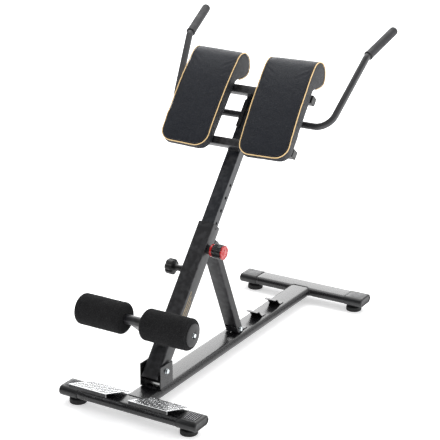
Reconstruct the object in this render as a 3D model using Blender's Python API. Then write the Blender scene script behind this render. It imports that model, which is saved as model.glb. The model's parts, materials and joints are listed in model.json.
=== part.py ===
"""Roman chair: a folding hyperextension bench on a flat-oval base.

Row frame: metres, +Z up, the long beam along Y, the user stands at -Y and
the middle of the frame is X = 0. The leaning column is drawn in its own
frame: x across, b behind the column axis, s along it from the base pivot.
"""
import math

import bmesh
import bpy
from mathutils import Matrix, Vector

GAP = 0.0003

# base
Y_FRONT = -0.6023
Y_REAR = 0.6473
BASE_TOP = 0.0640
TUBE_H = 0.0340
CROSS_W = 0.0890
BEAM_W = 0.0940
BASE_WALL = 0.0020
CROSS_HALF = 0.2050
CAP_END = 0.2800
FOOT_X = 0.2280
FOOT_R = 0.0310

# column
LEAN = math.radians(39.75)
PIVOT = Vector((0.0, -0.4515, 0.1217))
OUTER_W, OUTER_D = 0.0650, 0.0540
INNER_W, INNER_D = 0.0520, 0.0390
COL_WALL = 0.0025
OUTER_LOW, OUTER_TOP = -0.0430, 0.5490
POST_LOW, POST_TOP = 0.3300, 1.0780
PIN_S = 0.4605
HOLE_PITCH = 0.0503
CLAMP_S = 0.3710

# ankle rollers
ROLL_S, ROLL_N = 0.0945, 0.2340
ROLL_R = 0.0555
ROLL_IN, ROLL_OUT = 0.0405, 0.2235

# strut and its rack
STRUT_S, STRUT_N = 0.4900, -0.0644
FOOT_PIN = Vector((0.0, 0.0806, 0.0795))
STRUT_W, STRUT_D = 0.0560, 0.0330
HOOK_Y = (0.1101, 0.2536, 0.3971)
HOOK_HALF = 0.0240

# pad carriage
BAR_S = (0.8515, 1.0640)
BAR_N = (0.0360, 0.0680)
BAR_HALF = 0.2550
GRIP_S = 0.9890
GRIP_R = 0.0127
PAD_MID, PAD_HALF = 0.1598, 0.0983
PAD_TOE = math.radians(1.5)
PAD_BACK, PAD_LOW = 0.0735, 0.7990
PAD_CROWN = 0.0060
PAD_RADIUS = (0.0360, 0.0500)
ROLL_CENTRE, ROLL_RADIUS = (1.1515, 0.0665), 0.0520

# foot plates
PLATE_IN, PLATE_OUT = 0.0450, 0.2000
PLATE_FRONT = (-0.6913, 0.1125)
PLATE_REAR = (-0.5520, 0.0660)


def clear_scene():
    for item in list(bpy.data.objects):
        bpy.data.objects.remove(item, do_unlink=True)


def material(name, colour, roughness, metallic=0.0):
    mat = bpy.data.materials.new(name)
    mat.use_nodes = True
    shader = mat.node_tree.nodes["Principled BSDF"]
    shader.inputs["Base Color"].default_value = (*colour, 1.0)
    shader.inputs["Roughness"].default_value = roughness
    shader.inputs["Metallic"].default_value = metallic
    return mat


# ---------------------------------------------------------------- profiles
def oval_loop(width, height, steps=8):
    """Flat-oval outline: half circles joined by flats."""
    r = height / 2
    pts = []
    for side, start in ((1, -90), (-1, 90)):
        for k in range(steps + 1):
            a = math.radians(start + 180 * k / steps)
            pts.append((side * (width / 2 - r) + r * math.cos(a), r * math.sin(a)))
    return pts


def rect_loop(width, height, radius, steps=3):
    pts = []
    for cx, cy, start in ((1, 1, 0), (-1, 1, 90), (-1, -1, 180), (1, -1, 270)):
        for k in range(steps + 1):
            a = math.radians(start + 90 * k / steps)
            pts.append((cx * (width / 2 - radius) + radius * math.cos(a),
                        cy * (height / 2 - radius) + radius * math.sin(a)))
    return pts


def disc_loop(radius, steps=24):
    turn = 2 * math.pi / steps
    return [(radius * math.cos(k * turn), radius * math.sin(k * turn)) for k in range(steps)]


def hex_loop(flats):
    """Hexagon with a point in the middle of each side: it lofts to a 12-gon."""
    corner = flats / math.sqrt(3)
    radii = (corner, flats / 2)
    return [(radii[k % 2] * math.cos(k * math.pi / 6),
             radii[k % 2] * math.sin(k * math.pi / 6)) for k in range(12)]


def lobe_loop(radius, depth, lobes=7, per=8):
    pts = []
    for k in range(lobes * per):
        a = 2 * math.pi * k / (lobes * per)
        dip = max(0.0, -math.cos(lobes * a)) ** 1.4
        pts.append(((radius - depth * dip) * math.cos(a), (radius - depth * dip) * math.sin(a)))
    return pts


def sheet_loop(path, thick):
    """Outline of a bent sheet: the path is the middle of its thickness."""
    pts = [Vector(p) for p in path]
    left, right = [], []
    for i, p in enumerate(pts):
        d0 = (p - pts[i - 1]).normalized() if i else (pts[1] - p).normalized()
        d1 = (pts[i + 1] - p).normalized() if i < len(pts) - 1 else d0
        mid = (d0 + d1).normalized()
        normal = Vector((-mid.y, mid.x))
        reach = thick / 2 / max(0.3, normal.dot(Vector((-d0.y, d0.x))))
        left.append(tuple(p + normal * reach))
        right.append(tuple(p - normal * reach))
    return left + right[::-1]


# ---------------------------------------------------------------- builders
def ring(bm, loop, place):
    return [bm.verts.new(place(a, b)) for a, b in loop]


def skin(bm, one, two):
    n = len(one)
    for k in range(n):
        bm.faces.new((one[k], one[(k + 1) % n], two[(k + 1) % n], two[k]))


def loft(sections, inner=None):
    """sections: (loop, place) pairs in order; inner: the same for a bore."""
    bm = bmesh.new()
    outer = [ring(bm, loop, place) for loop, place in sections]
    for one, two in zip(outer, outer[1:]):
        skin(bm, one, two)
    if inner is None:
        bm.faces.new(outer[0])
        bm.faces.new(outer[-1])
    else:
        bore = [ring(bm, loop, place) for loop, place in inner]
        for one, two in zip(bore, bore[1:]):
            skin(bm, one, two)
        skin(bm, outer[0], bore[0])
        skin(bm, outer[-1], bore[-1])
    bmesh.ops.recalc_face_normals(bm, faces=bm.faces)
    return bm


def along_x(t, cy=0.0, cz=0.0):
    return lambda a, b: Vector((t, cy + a, cz + b))


def along_y(t, cx=0.0, cz=0.0):
    return lambda a, b: Vector((cx + a, t, cz + b))


def along_z(t, cx=0.0, cy=0.0):
    return lambda a, b: Vector((cx + a, cy + b, t))


def prism(loop, axis, t0, t1, c0=0.0, c1=0.0, bore=None):
    ends = [(loop, axis(t0, c0, c1)), (loop, axis(t1, c0, c1))]
    if bore is None:
        return loft(ends)
    return loft(ends, [(bore, axis(t0, c0, c1)), (bore, axis(t1, c0, c1))])


def turned(profile, axis, c0=0.0, c1=0.0, steps=32, bore=0.0):
    """profile: (position, radius) pairs along the axis."""
    body = [(disc_loop(r, steps), axis(t, c0, c1)) for t, r in profile]
    if not bore:
        return loft(body)
    ends = (profile[0][0], profile[-1][0])
    return loft(body, [(disc_loop(bore, steps), axis(t, c0, c1)) for t in ends])


def rounded(t0, t1, r, edge, steps=4):
    """Straight cylinder profile with both rims rounded over."""
    pts = []
    for k in range(steps + 1):
        a = math.pi / 2 * k / steps
        pts.append((t0 + edge * (1 - math.sin(a)), r - edge * (1 - math.cos(a))))
    back = [(t0 + t1 - t, rad) for t, rad in pts]
    return pts[::-1] + back


def bolt(t_nut, t_head, radius, flats, head, nut, cy, cz):
    """Hex bolt along X: shank between the two faces, head at +X, nut at -X."""
    shank = disc_loop(radius, 12)
    cap, under = hex_loop(flats), hex_loop(flats * 0.93)
    body = [(t_nut - nut - 0.003, shank), (t_nut - nut, shank), (t_nut - nut, cap),
            (t_nut, cap), (t_nut, shank), (t_head, shank), (t_head, cap),
            (t_head + head * 0.8, cap), (t_head + head, under)]
    return loft([(loop, along_x(t, cy, cz)) for t, loop in body])


def fillet_path(points, radii, steps=6):
    pts = [Vector(p) for p in points]
    path = [pts[0]]
    for i in range(1, len(pts) - 1):
        d0 = (pts[i - 1] - pts[i]).normalized()
        d1 = (pts[i + 1] - pts[i]).normalized()
        half = d0.angle(d1) / 2
        cut = radii[i - 1] / math.tan(half)
        centre = pts[i] + (d0 + d1).normalized() * (radii[i - 1] / math.sin(half))
        start = pts[i] + d0 * cut - centre
        stop = pts[i] + d1 * cut - centre
        swing = start.angle(stop)
        for k in range(steps + 1):
            f = k / steps
            mix = (start * math.sin((1 - f) * swing) + stop * math.sin(f * swing))
            path.append(centre + mix / math.sin(swing))
    path.append(pts[-1])
    return path


def sweep(path, radius, bore=None, steps=18):
    """Round tube along a path, with a parallel-carried cross-section."""
    side = Vector((0.0, 1.0, 0.0))
    places = []
    for i, p in enumerate(path):
        before = path[max(0, i - 1)]
        after = path[min(len(path) - 1, i + 1)]
        forward = (after - before).normalized()
        side = (side - forward * side.dot(forward)).normalized()
        up = forward.cross(side)
        places.append(lambda a, b, p=p, s=side.copy(), u=up: p + s * a + u * b)
    body = [(disc_loop(radius, steps), place) for place in places]
    if bore is None:
        return loft(body)
    return loft(body, [(disc_loop(bore, steps), place) for place in places])


COLUMN = Matrix.Translation(PIVOT) @ Matrix.Rotation(-LEAN, 4, "X")


def column_point(x, s, n):
    return COLUMN @ Vector((x, -n, s))


def put(name, bm, mat, frame=None, origin=None, smooth=False):
    """Bake the frame into the mesh and set the object's origin."""
    if frame is not None:
        bm.transform(frame)
    origin = Vector(origin) if origin is not None else Vector((0, 0, 0))
    bm.transform(Matrix.Translation(-origin))
    mesh = bpy.data.meshes.new(name)
    bm.to_mesh(mesh)
    bm.free()
    mesh.materials.append(mat)
    for face in mesh.polygons:
        face.use_smooth = smooth
    item = bpy.data.objects.new(name, mesh)
    item.location = origin
    bpy.context.scene.collection.objects.link(item)
    return item


def carve(item, bm, label, frame=None):
    """Take a closed cutter away from an item."""
    cutter = put(item.name + "." + label, bm, item.data.materials[0], frame)
    cutter.hide_render = True
    cutter.display_type = "WIRE"
    cut = item.modifiers.new(label, "BOOLEAN")
    cut.operation = "DIFFERENCE"
    cut.solver = "EXACT"
    cut.object = cutter


# ---------------------------------------------------------------- base
def build_base(paint, plastic, rubber):
    mid = BASE_TOP - TUBE_H / 2
    bore = 2 * BASE_WALL
    for name, y in (("front_crossbar", Y_FRONT), ("rear_crossbar", Y_REAR)):
        bm = prism(oval_loop(CROSS_W, TUBE_H), along_x, -CROSS_HALF, CROSS_HALF, y, mid,
                   oval_loop(CROSS_W - bore, TUBE_H - bore))
        put(name, bm, paint)
        for tag, side in (("left", -1), ("right", 1)):
            build_cap(name.split("_")[0] + "_cap_" + tag, y, mid, side, plastic)
            foot = turned([(0.0, FOOT_R - 0.002), (0.002, FOOT_R), (0.015, FOOT_R),
                           (0.019, FOOT_R - 0.004), (0.019, 0.016), (0.0282, 0.016)],
                          along_z, side * FOOT_X, y)
            put(name.split("_")[0] + "_foot_" + tag, foot, rubber, smooth=False)
    beam = put("main_beam", prism(oval_loop(BEAM_W, TUBE_H), along_y, Y_FRONT, Y_REAR, 0.0, mid,
                                  oval_loop(BEAM_W - bore, TUBE_H - bore)), paint)
    for label, y in (("front_cope", Y_FRONT), ("rear_cope", Y_REAR)):
        solid = oval_loop(CROSS_W + 2 * GAP, TUBE_H + 2 * GAP)
        carve(beam, prism(solid, along_x, -0.08, 0.08, y, mid), label)


def build_cap(name, y, mid, side, plastic):
    """Moulded end cap: a plug inside the tube and a rounded outer body."""
    w, h = CROSS_W, TUBE_H
    plug = 2 * (BASE_WALL + GAP)
    steps = [(CROSS_HALF - 0.016, w - plug, h - plug), (CROSS_HALF + GAP, w - plug, h - plug),
             (CROSS_HALF + GAP, w + 0.002, h + 0.002), (CAP_END - 0.006, w + 0.003, h + 0.003),
             (CAP_END - 0.0018, w, h), (CAP_END, w - 0.006, h - 0.006)]
    put(name, loft([(oval_loop(a, b), along_x(side * t, y, mid)) for t, a, b in steps]), plastic)


def build_clevis(paint, zinc):
    inner, outer, low, high = 0.0385, 0.0425, BASE_TOP + GAP, 0.1470
    loop = [(-outer, low), (outer, low), (outer, high), (inner, high),
            (inner, low + 0.004), (-inner, low + 0.004), (-inner, high), (-outer, high)]
    clevis = put("column_clevis", prism(loop, along_y, -0.4900, -0.4120), paint)
    carve(clevis, prism(disc_loop(0.0056, 16), along_x, -0.06, 0.06, PIVOT.y, PIVOT.z), "bolt_hole")
    put("clevis_bolt", bolt(-outer - GAP, outer + GAP, 0.005, 0.016, 0.0065, 0.007,
                            PIVOT.y, PIVOT.z), zinc)


def build_hooks(paint):
    low = BASE_TOP + GAP + 0.0015
    for k, y in enumerate(HOOK_Y):
        path = [(y + 0.029, low), (y + 0.003, low), (y - 0.001, low + 0.0025),
                (y - 0.021, BASE_TOP + 0.0275), (y - 0.024, BASE_TOP + 0.0290),
                (y - 0.039, BASE_TOP + 0.0295)]
        put("rack_hook_%d" % (k + 1), prism(sheet_loop(path, 0.003), along_x, -HOOK_HALF, HOOK_HALF),
            paint)


def build_foot_plates(tread, paint):
    (y0, z0), (y1, z1) = PLATE_FRONT, PLATE_REAR
    slope = (z0 - z1) / (y1 - y0)
    under = 0.0032 + GAP
    for tag, side in (("left", -1), ("right", 1)):
        path = [(y0 - 0.0005, z0 - 0.0135), (y0, z0 - 0.0015), (y1, z1 - 0.0015)]
        put("foot_plate_" + tag,
            prism(sheet_loop(path, 0.003), along_x, side * PLATE_IN, side * PLATE_OUT), tread)
        ya, yb, low = -0.6290, -0.5830, BASE_TOP + GAP
        top_a = z0 - (ya - y0) * slope - under
        top_b = z0 - (yb - y0) * slope - under
        outer = [(ya, low), (yb, low), (yb, top_b), (ya, top_a)]
        w = 0.0025
        inner = [(ya + w, low + w), (yb - w, low + w), (yb - w, top_b - w * 0.9),
                 (ya + w, top_a - w * 1.3)]
        put("foot_plate_bracket_" + tag,
            prism(outer, along_x, side * 0.0900, side * 0.1550, bore=inner), paint)


# ---------------------------------------------------------------- column
def build_column(paint, plastic):
    wall = 2 * COL_WALL
    column = put("outer_column", prism(rect_loop(OUTER_W, OUTER_D, 0.006), along_z,
                                       OUTER_LOW, OUTER_TOP,
                                       bore=rect_loop(OUTER_W - wall, OUTER_D - wall, 0.004)),
                 paint, COLUMN, PIVOT)
    carve(column, prism(disc_loop(0.0056, 16), along_x, -0.05, 0.05), "bolt_hole", COLUMN)
    carve(column, prism(disc_loop(0.0066, 16), along_x, 0.01, 0.05, 0.0, PIN_S), "pin_hole", COLUMN)
    carve(column, prism(disc_loop(0.0060, 16), along_x, -0.05, -0.01, 0.0, CLAMP_S),
          "clamp_hole", COLUMN)
    fit = 2 * GAP
    bore = rect_loop(INNER_W + fit, INNER_D + fit, 0.0043)
    sleeve = rect_loop(OUTER_W - wall - fit, OUTER_D - wall - fit, 0.0037)
    lip = rect_loop(OUTER_W, OUTER_D, 0.006)
    base = OUTER_TOP + GAP
    liner = loft([(sleeve, along_z(0.480)), (sleeve, along_z(base)), (lip, along_z(base)),
                  (lip, along_z(base + 0.0025))],
                 [(bore, along_z(0.480)), (bore, along_z(base + 0.0025))])
    put("column_liner", liner, plastic, COLUMN, PIVOT)


def build_roller_arm(paint, foam, plastic, zinc):
    axle = column_point(0.0, ROLL_S, ROLL_N)
    bm = loft([(rect_loop(0.038, 0.034, 0.004), along_y(-t, 0.0, ROLL_S)) for t in
               (OUTER_D / 2 + GAP, ROLL_N)],
              [(rect_loop(0.033, 0.029, 0.002), along_y(-t, 0.0, ROLL_S)) for t in
               (OUTER_D / 2 + GAP, ROLL_N)])
    arm = put("roller_arm", bm, paint, COLUMN, PIVOT)
    carve(arm, turned([(-0.03, 0.0173), (0.03, 0.0173)], along_x, -ROLL_N, ROLL_S), "axle_cope",
          COLUMN)
    sleeve = ROLL_IN - 0.0005
    profile = [(-0.2215, 0.010), (-sleeve, 0.010), (-sleeve, 0.017), (sleeve, 0.017),
               (sleeve, 0.010), (0.2215, 0.010)]
    put("roller_axle", turned(profile, along_x, -ROLL_N, ROLL_S), paint, COLUMN, axle)
    for tag, side in (("left", -1), ("right", 1)):
        span = [(side * t, r) for t, r in rounded(ROLL_IN, ROLL_OUT, ROLL_R, 0.013)]
        put("foam_roller_" + tag,
            turned(span, along_x, -ROLL_N, ROLL_S, steps=36, bore=0.0104), foam, COLUMN, axle, True)
        face = ROLL_OUT + GAP
        dome = [(face, 0.0385), (face + 0.002, 0.0400), (face + 0.0042, 0.0340),
                (face + 0.0062, 0.0220), (face + 0.0070, 0.0125), (face + 0.0052, 0.0105)]
        put("roller_disc_" + tag, turned([(side * t, r) for t, r in dome], along_x, -ROLL_N, ROLL_S,
                                         bore=0.0048), plastic, COLUMN, axle, True)
        head = [(0.2222, disc_loop(0.0043, 12)), (0.2295, disc_loop(0.0043, 12)),
                (0.2295, hex_loop(0.013)), (0.2335, hex_loop(0.013)), (0.2345, hex_loop(0.0115))]
        put("roller_bolt_" + tag,
            loft([(loop, along_x(side * t, -ROLL_N, ROLL_S)) for t, loop in head]), zinc, COLUMN, axle)


def build_pop_pin(black, red):
    """Spring pin: fixed barrel, then the knob with its pin, ring and end cap."""
    at = column_point(0.0, PIN_S, 0.0)
    barrel = turned([(OUTER_W / 2 + GAP, 0.0130), (0.0450, 0.0130), (0.0470, 0.0115)], along_x,
                    0.0, PIN_S, 24, bore=0.0066)
    put("pin_barrel", barrel, black, COLUMN, at)
    ring_part = turned([(0.0476, 0.0215), (0.0490, 0.0235), (0.0545, 0.0235), (0.0560, 0.0220)],
                       along_x, 0.0, PIN_S, 28, bore=0.0063)
    put("pin_ring", ring_part, red, COLUMN, at)
    body = [(0.0275, disc_loop(0.0045, 56)), (0.0290, disc_loop(0.0058, 56)),
            (0.0563, disc_loop(0.0058, 56)), (0.0563, disc_loop(0.0190, 56)),
            (0.0580, lobe_loop(0.0250, 0.0035)), (0.0915, lobe_loop(0.0268, 0.0040)),
            (0.0930, lobe_loop(0.0250, 0.0035))]
    put("pin_knob", loft([(loop, along_x(t, 0.0, PIN_S)) for t, loop in body]), black, COLUMN, at)
    cap = [(0.0933, lobe_loop(0.0255, 0.0030)), (0.0948, lobe_loop(0.0268, 0.0032)),
           (0.0970, lobe_loop(0.0266, 0.0032)), (0.0988, lobe_loop(0.0238, 0.0022)),
           (0.1000, lobe_loop(0.0150, 0.0008))]
    put("pin_cap", loft([(loop, along_x(t, 0.0, PIN_S)) for t, loop in cap]), red, COLUMN, at)


def build_clamp(black):
    at = column_point(0.0, CLAMP_S, 0.0)
    boss = turned([(-OUTER_W / 2 - GAP, 0.0125), (-0.0475, 0.0125)], along_x, 0.0, CLAMP_S, 20,
                  bore=0.0058)
    put("clamp_boss", boss, black, COLUMN, at)
    body = [(-0.0283, disc_loop(0.0050, 56)), (-0.0480, disc_loop(0.0050, 56)),
            (-0.0480, disc_loop(0.0115, 56)), (-0.0720, disc_loop(0.0115, 56)),
            (-0.0730, lobe_loop(0.0265, 0.0040)), (-0.0755, lobe_loop(0.0287, 0.0042)),
            (-0.0985, lobe_loop(0.0287, 0.0042)), (-0.1020, lobe_loop(0.0262, 0.0030)),
            (-0.1035, lobe_loop(0.0180, 0.0010))]
    put("clamp_knob", loft([(loop, along_x(t, 0.0, CLAMP_S)) for t, loop in body]), black, COLUMN, at)


# ---------------------------------------------------------------- strut
def build_strut(paint, zinc):
    top = column_point(0.0, STRUT_S, STRUT_N)
    rear = OUTER_D / 2 + GAP
    wide, thin, reach = STRUT_W / 2 + 0.0008, 0.004, -STRUT_N + 0.018
    loop = [(-wide - thin, rear), (wide + thin, rear), (wide + thin, reach), (wide, reach),
            (wide, rear + thin), (-wide, rear + thin), (-wide, reach), (-wide - thin, reach)]
    ears = put("strut_bracket", prism(loop, along_z, STRUT_S - 0.020, STRUT_S + 0.019), paint,
               COLUMN, top)
    carve(ears, prism(disc_loop(0.0056, 16), along_x, -0.05, 0.05, -STRUT_N, STRUT_S),
          "bolt_hole", COLUMN)
    corner = [(0.0480, 0.5120), (0.0950, 0.5120), (0.0950, 0.4740)]
    carve(ears, prism(corner, along_x, -0.05, 0.05), "ear_corner", COLUMN)
    put("strut_bolt", bolt(-wide - thin - GAP, wide + thin + GAP, 0.005, 0.014, 0.0055, 0.006,
                           top.y, top.z), zinc, origin=top)
    run = FOOT_PIN - top
    angle = math.atan2(run.y, -run.z)
    frame = Matrix.Translation(top) @ Matrix.Rotation(angle, 4, "X")
    wall = 2 * COL_WALL
    bm = prism(rect_loop(STRUT_W, STRUT_D, 0.004), along_z, 0.013, -run.length - 0.016,
               bore=rect_loop(STRUT_W - wall, STRUT_D - wall, 0.002))
    strut = put("strut_tube", bm, paint, frame, top)
    hole = disc_loop(0.0056, 16)
    carve(strut, prism(hole, along_x, -0.05, 0.05), "top_hole", frame)
    carve(strut, prism(hole, along_x, -0.05, 0.05, FOOT_PIN.y, FOOT_PIN.z), "foot_hole")
    mouth = rect_loop(STRUT_W - wall, 0.060, 0.003)
    carve(strut, prism(mouth, along_z, -run.length + 0.030, -run.length - 0.040, 0.0, 0.030),
          "rear_mouth", frame)
    carve(strut, prism(mouth, along_z, -run.length + 0.026, -run.length + 0.017, 0.0, -0.030),
          "front_slot", frame)
    carve(strut, prism(rect_loop(0.10, 0.20, 0.01), along_z, 0.0, FOOT_PIN.z - 0.0130,
                       0.0, FOOT_PIN.y), "flat_foot")
    put("foot_pin", bolt(-STRUT_W / 2 - GAP, STRUT_W / 2 + GAP, 0.005, 0.015, 0.0060, 0.006,
                         FOOT_PIN.y, FOOT_PIN.z), zinc, origin=top)


# ---------------------------------------------------------------- carriage
def build_post(paint):
    post = put("inner_post", prism(rect_loop(INNER_W, INNER_D, 0.004), along_z, POST_LOW, POST_TOP,
                                   bore=rect_loop(INNER_W - 0.004, INNER_D - 0.004, 0.0025)),
               paint, COLUMN, PIVOT)
    for k in range(-2, 6):
        carve(post, prism(disc_loop(0.0050, 14), along_x, 0.01, 0.04, 0.0, PIN_S + k * HOLE_PITCH),
              "hole_%d" % (k + 3), COLUMN)
    carve(post, prism(disc_loop(GRIP_R + GAP, 28), along_x, -0.04, 0.04, 0.0, GRIP_S),
          "bar_hole", COLUMN)


def build_crossbars(paint, plastic):
    depth = BAR_N[1] - BAR_N[0]
    mid = -(BAR_N[0] + BAR_N[1]) / 2
    for tag, s in (("lower", BAR_S[0]), ("upper", BAR_S[1])):
        put("pad_crossbar_" + tag, prism(rect_loop(depth, 0.030, 0.003), along_x, -BAR_HALF, BAR_HALF,
                                         mid, s, rect_loop(depth - 0.004, 0.026, 0.0015)),
            paint, COLUMN, PIVOT)
        block = rect_loop(0.046, BAR_N[0] - INNER_D / 2 - 2 * GAP, 0.002)
        centre = -(BAR_N[0] + INNER_D / 2) / 2
        put("crossbar_spacer_" + tag,
            prism(block, along_z, s - 0.012, s + 0.012, 0.0, centre), paint, COLUMN, PIVOT)
        for side_tag, side in (("left", -1), ("right", 1)):
            plug = [(BAR_HALF - 0.012, 0.0254), (BAR_HALF + GAP, 0.0254), (BAR_HALF + GAP, 0.030),
                    (BAR_HALF + 0.0035, 0.030), (BAR_HALF + 0.0050, 0.027)]
            bm = loft([(rect_loop(h + 0.002, h, 0.0012), along_x(side * t, mid, s)) for t, h in plug])
            put("bar_plug_%s_%s" % (tag, side_tag), bm, plastic, COLUMN, PIVOT)


def grip_path():
    """Centre line of the right half of the handlebar, bar first, then the grip."""
    corner = Vector((0.3230, 0.0, GRIP_S))
    kink = Vector((0.3740, 0.0, 1.2855))
    tip = Vector((0.4020, 0.0860, 1.4500))
    return corner, kink, tip


def build_handlebar(paint, rubber):
    corner, kink, tip = grip_path()
    aim = (tip - kink).normalized()
    stop = tip - aim * 0.010
    right = fillet_path([Vector((0.0, 0.0, GRIP_S)), corner, kink, stop], [0.068, 0.030])
    left = [Vector((-p.x, p.y, p.z)) for p in right[1:]][::-1]
    put("handlebar", sweep(left + right[1:], GRIP_R, GRIP_R - 0.002), paint, COLUMN, PIVOT, True)
    length = (tip - kink).length
    begin = 0.009
    outer = [(begin, 0.0150), (begin + 0.004, 0.0165), (length - 0.007, 0.0165),
             (length - 0.002, 0.0145), (length, 0.0090)]
    for tag, side in (("left", -1), ("right", 1)):
        start = Vector((side * kink.x, kink.y, kink.z))
        ahead = Vector((side * aim.x, aim.y, aim.z))
        across = ahead.cross(Vector((1, 0, 0))).normalized()
        third = ahead.cross(across)
        bm = bmesh.new()
        bore = [(begin, GRIP_R + GAP), (length - 0.0085, GRIP_R + GAP)]
        shells = [[(start + ahead * t, r) for t, r in outer], [(start + ahead * t, r) for t, r in bore]]
        ends = []
        for shell in shells:
            rings = [[bm.verts.new(c + across * r * math.cos(a) + third * r * math.sin(a))
                      for a in (2 * math.pi * k / 24 for k in range(24))] for c, r in shell]
            for one, two in zip(rings, rings[1:]):
                skin(bm, one, two)
            bm.faces.new(rings[-1])
            ends.append(rings[0])
        skin(bm, ends[0], ends[1])
        bmesh.ops.recalc_face_normals(bm, faces=bm.faces)
        put("grip_" + tag, bm, rubber, COLUMN, PIVOT, True)


def build_bosses(paint):
    """Round-ended strips along both edges of the post's face, at the handlebar."""
    x0, x1, low, high = 0.0095, 0.0245, INNER_D / 2 + GAP, 0.0275
    r, half = (x1 - x0) / 2, 0.0570
    loop = []
    for end, start in ((1, 0), (-1, 180)):
        for k in range(9):
            a = math.radians(start + 180 * k / 8)
            loop.append(((x0 + x1) / 2 + r * math.cos(a),
                         GRIP_S - 0.003 + end * (half - r) + r * math.sin(a)))
    for tag, side in (("left", -1), ("right", 1)):
        bm = loft([([(side * a, b) for a, b in loop], lambda a, b, n=n: Vector((a, -n, b)))
                   for n in (low, high)])
        put("post_boss_" + tag, bm, paint, COLUMN, PIVOT)


def pad_profile():
    """Side outline at the side seams: (s, n) and the way the cover crowns there."""
    face = [(0.8060, 0.1130), (0.8300, 0.1148), (0.8600, 0.1166), (0.9000, 0.1185), (0.9600, 0.1212),
            (1.0200, 0.1235), (1.0800, 0.1230), (1.1200, 0.1210)]
    s0, n0 = ROLL_CENTRE
    out = [(s, n, 0.0, 1.0) for s, n in face]
    for d in range(0, 191, 19):
        rs, rn = math.sin(math.radians(d)), math.cos(math.radians(d))
        out.append((s0 + ROLL_RADIUS * rs, n0 + ROLL_RADIUS * rn, 0.4 * rs, 0.4 * rn))
    under = [(1.1240, 0.0300), (1.1080, 0.0500), (1.0950, 0.0680)]
    back = [(1.0850, PAD_BACK), (1.0000, PAD_BACK), (0.9000, PAD_BACK), (0.8250, PAD_BACK)]
    toe = [(0.8080, 0.0750), (0.8020, 0.0800), (PAD_LOW, 0.0900), (0.8000, 0.1080)]
    return out + [(s, n, 0.0, 0.0) for s, n in under + back + toe]


def pad_ring(profile, inset):
    """The outline at a distance in from a side seam: crowned, with rounded lower corners."""
    ring = []
    crown = PAD_CROWN * (1 - (1 - min(1.0, inset / 0.030)) ** 2)
    for s, n, rs, rn in profile:
        part = min(1.0, max(0.0, (n - PAD_BACK) / 0.045))
        radius = PAD_RADIUS[0] + (PAD_RADIUS[1] - PAD_RADIUS[0]) * part
        lift = radius - math.sqrt(radius ** 2 - max(0.0, radius - inset) ** 2)
        fade = max(0.0, 1 - (s - PAD_LOW) / 0.100)
        ring.append((n + rn * crown, s + rs * crown + lift * fade))
    return ring


def build_pads(leather, board):
    profile = pad_profile()
    insets = (0.0, 0.0015, 0.006, 0.013, 0.022, 0.034, 0.050)
    spans = [(d - PAD_HALF, d) for d in insets] + [(PAD_HALF - d, d) for d in insets[::-1]]
    for tag, side in (("left", -1), ("right", 1)):
        turn = (Matrix.Translation((side * PAD_MID, 0.0, 1.0)) @ Matrix.Rotation(-side * PAD_TOE, 4, "Y")
                @ Matrix.Translation((0.0, 0.0, -1.0)))
        sections = [(pad_ring(profile, d), lambda n, s, x=x: turn @ Vector((side * x, -n, s)))
                    for x, d in spans]
        put("hip_pad_" + tag, loft(sections), leather, COLUMN, PIVOT, False)
        low, high = 0.8300, 1.0800
        plate = rect_loop(2 * PAD_HALF - 0.016, high - low, 0.024, 4)
        bm = loft([(plate, lambda a, b, n=n: turn @ Vector((a, -n, (low + high) / 2 + b)))
                   for n in (BAR_N[1] + GAP, PAD_BACK - GAP)])
        put("pad_board_" + tag, bm, board, COLUMN, PIVOT)


def main():
    clear_scene()
    paint = material("satin_black_paint", (0.035, 0.036, 0.040), 0.38)
    plastic = material("black_plastic", (0.030, 0.031, 0.033), 0.50)
    rubber = material("black_rubber", (0.022, 0.022, 0.023), 0.80)
    zinc = material("zinc_bolt", (0.72, 0.73, 0.74), 0.32, 1.0)
    tread = material("bright_tread_plate", (0.80, 0.81, 0.82), 0.30, 1.0)
    foam = material("roller_foam", (0.028, 0.028, 0.030), 0.95)
    leather = material("pad_leatherette", (0.040, 0.045, 0.058), 0.55)
    board = material("pad_board", (0.045, 0.042, 0.040), 0.70)
    red = material("red_gloss", (0.62, 0.03, 0.03), 0.25)
    build_base(paint, plastic, rubber)
    build_clevis(paint, zinc)
    build_hooks(paint)
    build_foot_plates(tread, paint)
    build_column(paint, plastic)
    build_roller_arm(paint, foam, plastic, zinc)
    build_pop_pin(plastic, red)
    build_clamp(plastic)
    build_strut(paint, zinc)
    build_post(paint)
    build_crossbars(paint, plastic)
    build_handlebar(paint, rubber)
    build_bosses(paint)
    build_pads(leather, board)


main()
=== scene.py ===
import json
import math
import random

import bmesh
import bpy
from mathutils import Matrix, Vector, noise
from mathutils.bvhtree import BVHTree


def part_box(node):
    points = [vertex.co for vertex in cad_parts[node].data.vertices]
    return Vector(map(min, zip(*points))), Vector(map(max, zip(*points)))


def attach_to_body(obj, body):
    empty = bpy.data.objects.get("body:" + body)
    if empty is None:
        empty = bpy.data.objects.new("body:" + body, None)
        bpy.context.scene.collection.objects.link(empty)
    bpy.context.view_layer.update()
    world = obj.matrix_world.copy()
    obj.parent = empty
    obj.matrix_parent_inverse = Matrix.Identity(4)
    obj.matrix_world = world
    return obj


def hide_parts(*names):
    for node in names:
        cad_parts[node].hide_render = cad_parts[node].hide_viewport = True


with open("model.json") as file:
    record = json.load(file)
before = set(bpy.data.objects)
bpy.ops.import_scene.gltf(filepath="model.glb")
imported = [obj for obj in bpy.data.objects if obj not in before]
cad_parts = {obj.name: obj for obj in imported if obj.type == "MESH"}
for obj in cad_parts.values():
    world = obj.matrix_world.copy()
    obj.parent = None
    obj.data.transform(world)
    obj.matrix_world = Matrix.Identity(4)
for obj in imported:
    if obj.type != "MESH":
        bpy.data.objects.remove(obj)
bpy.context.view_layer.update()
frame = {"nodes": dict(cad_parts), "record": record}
NODES = frame["nodes"]
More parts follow.
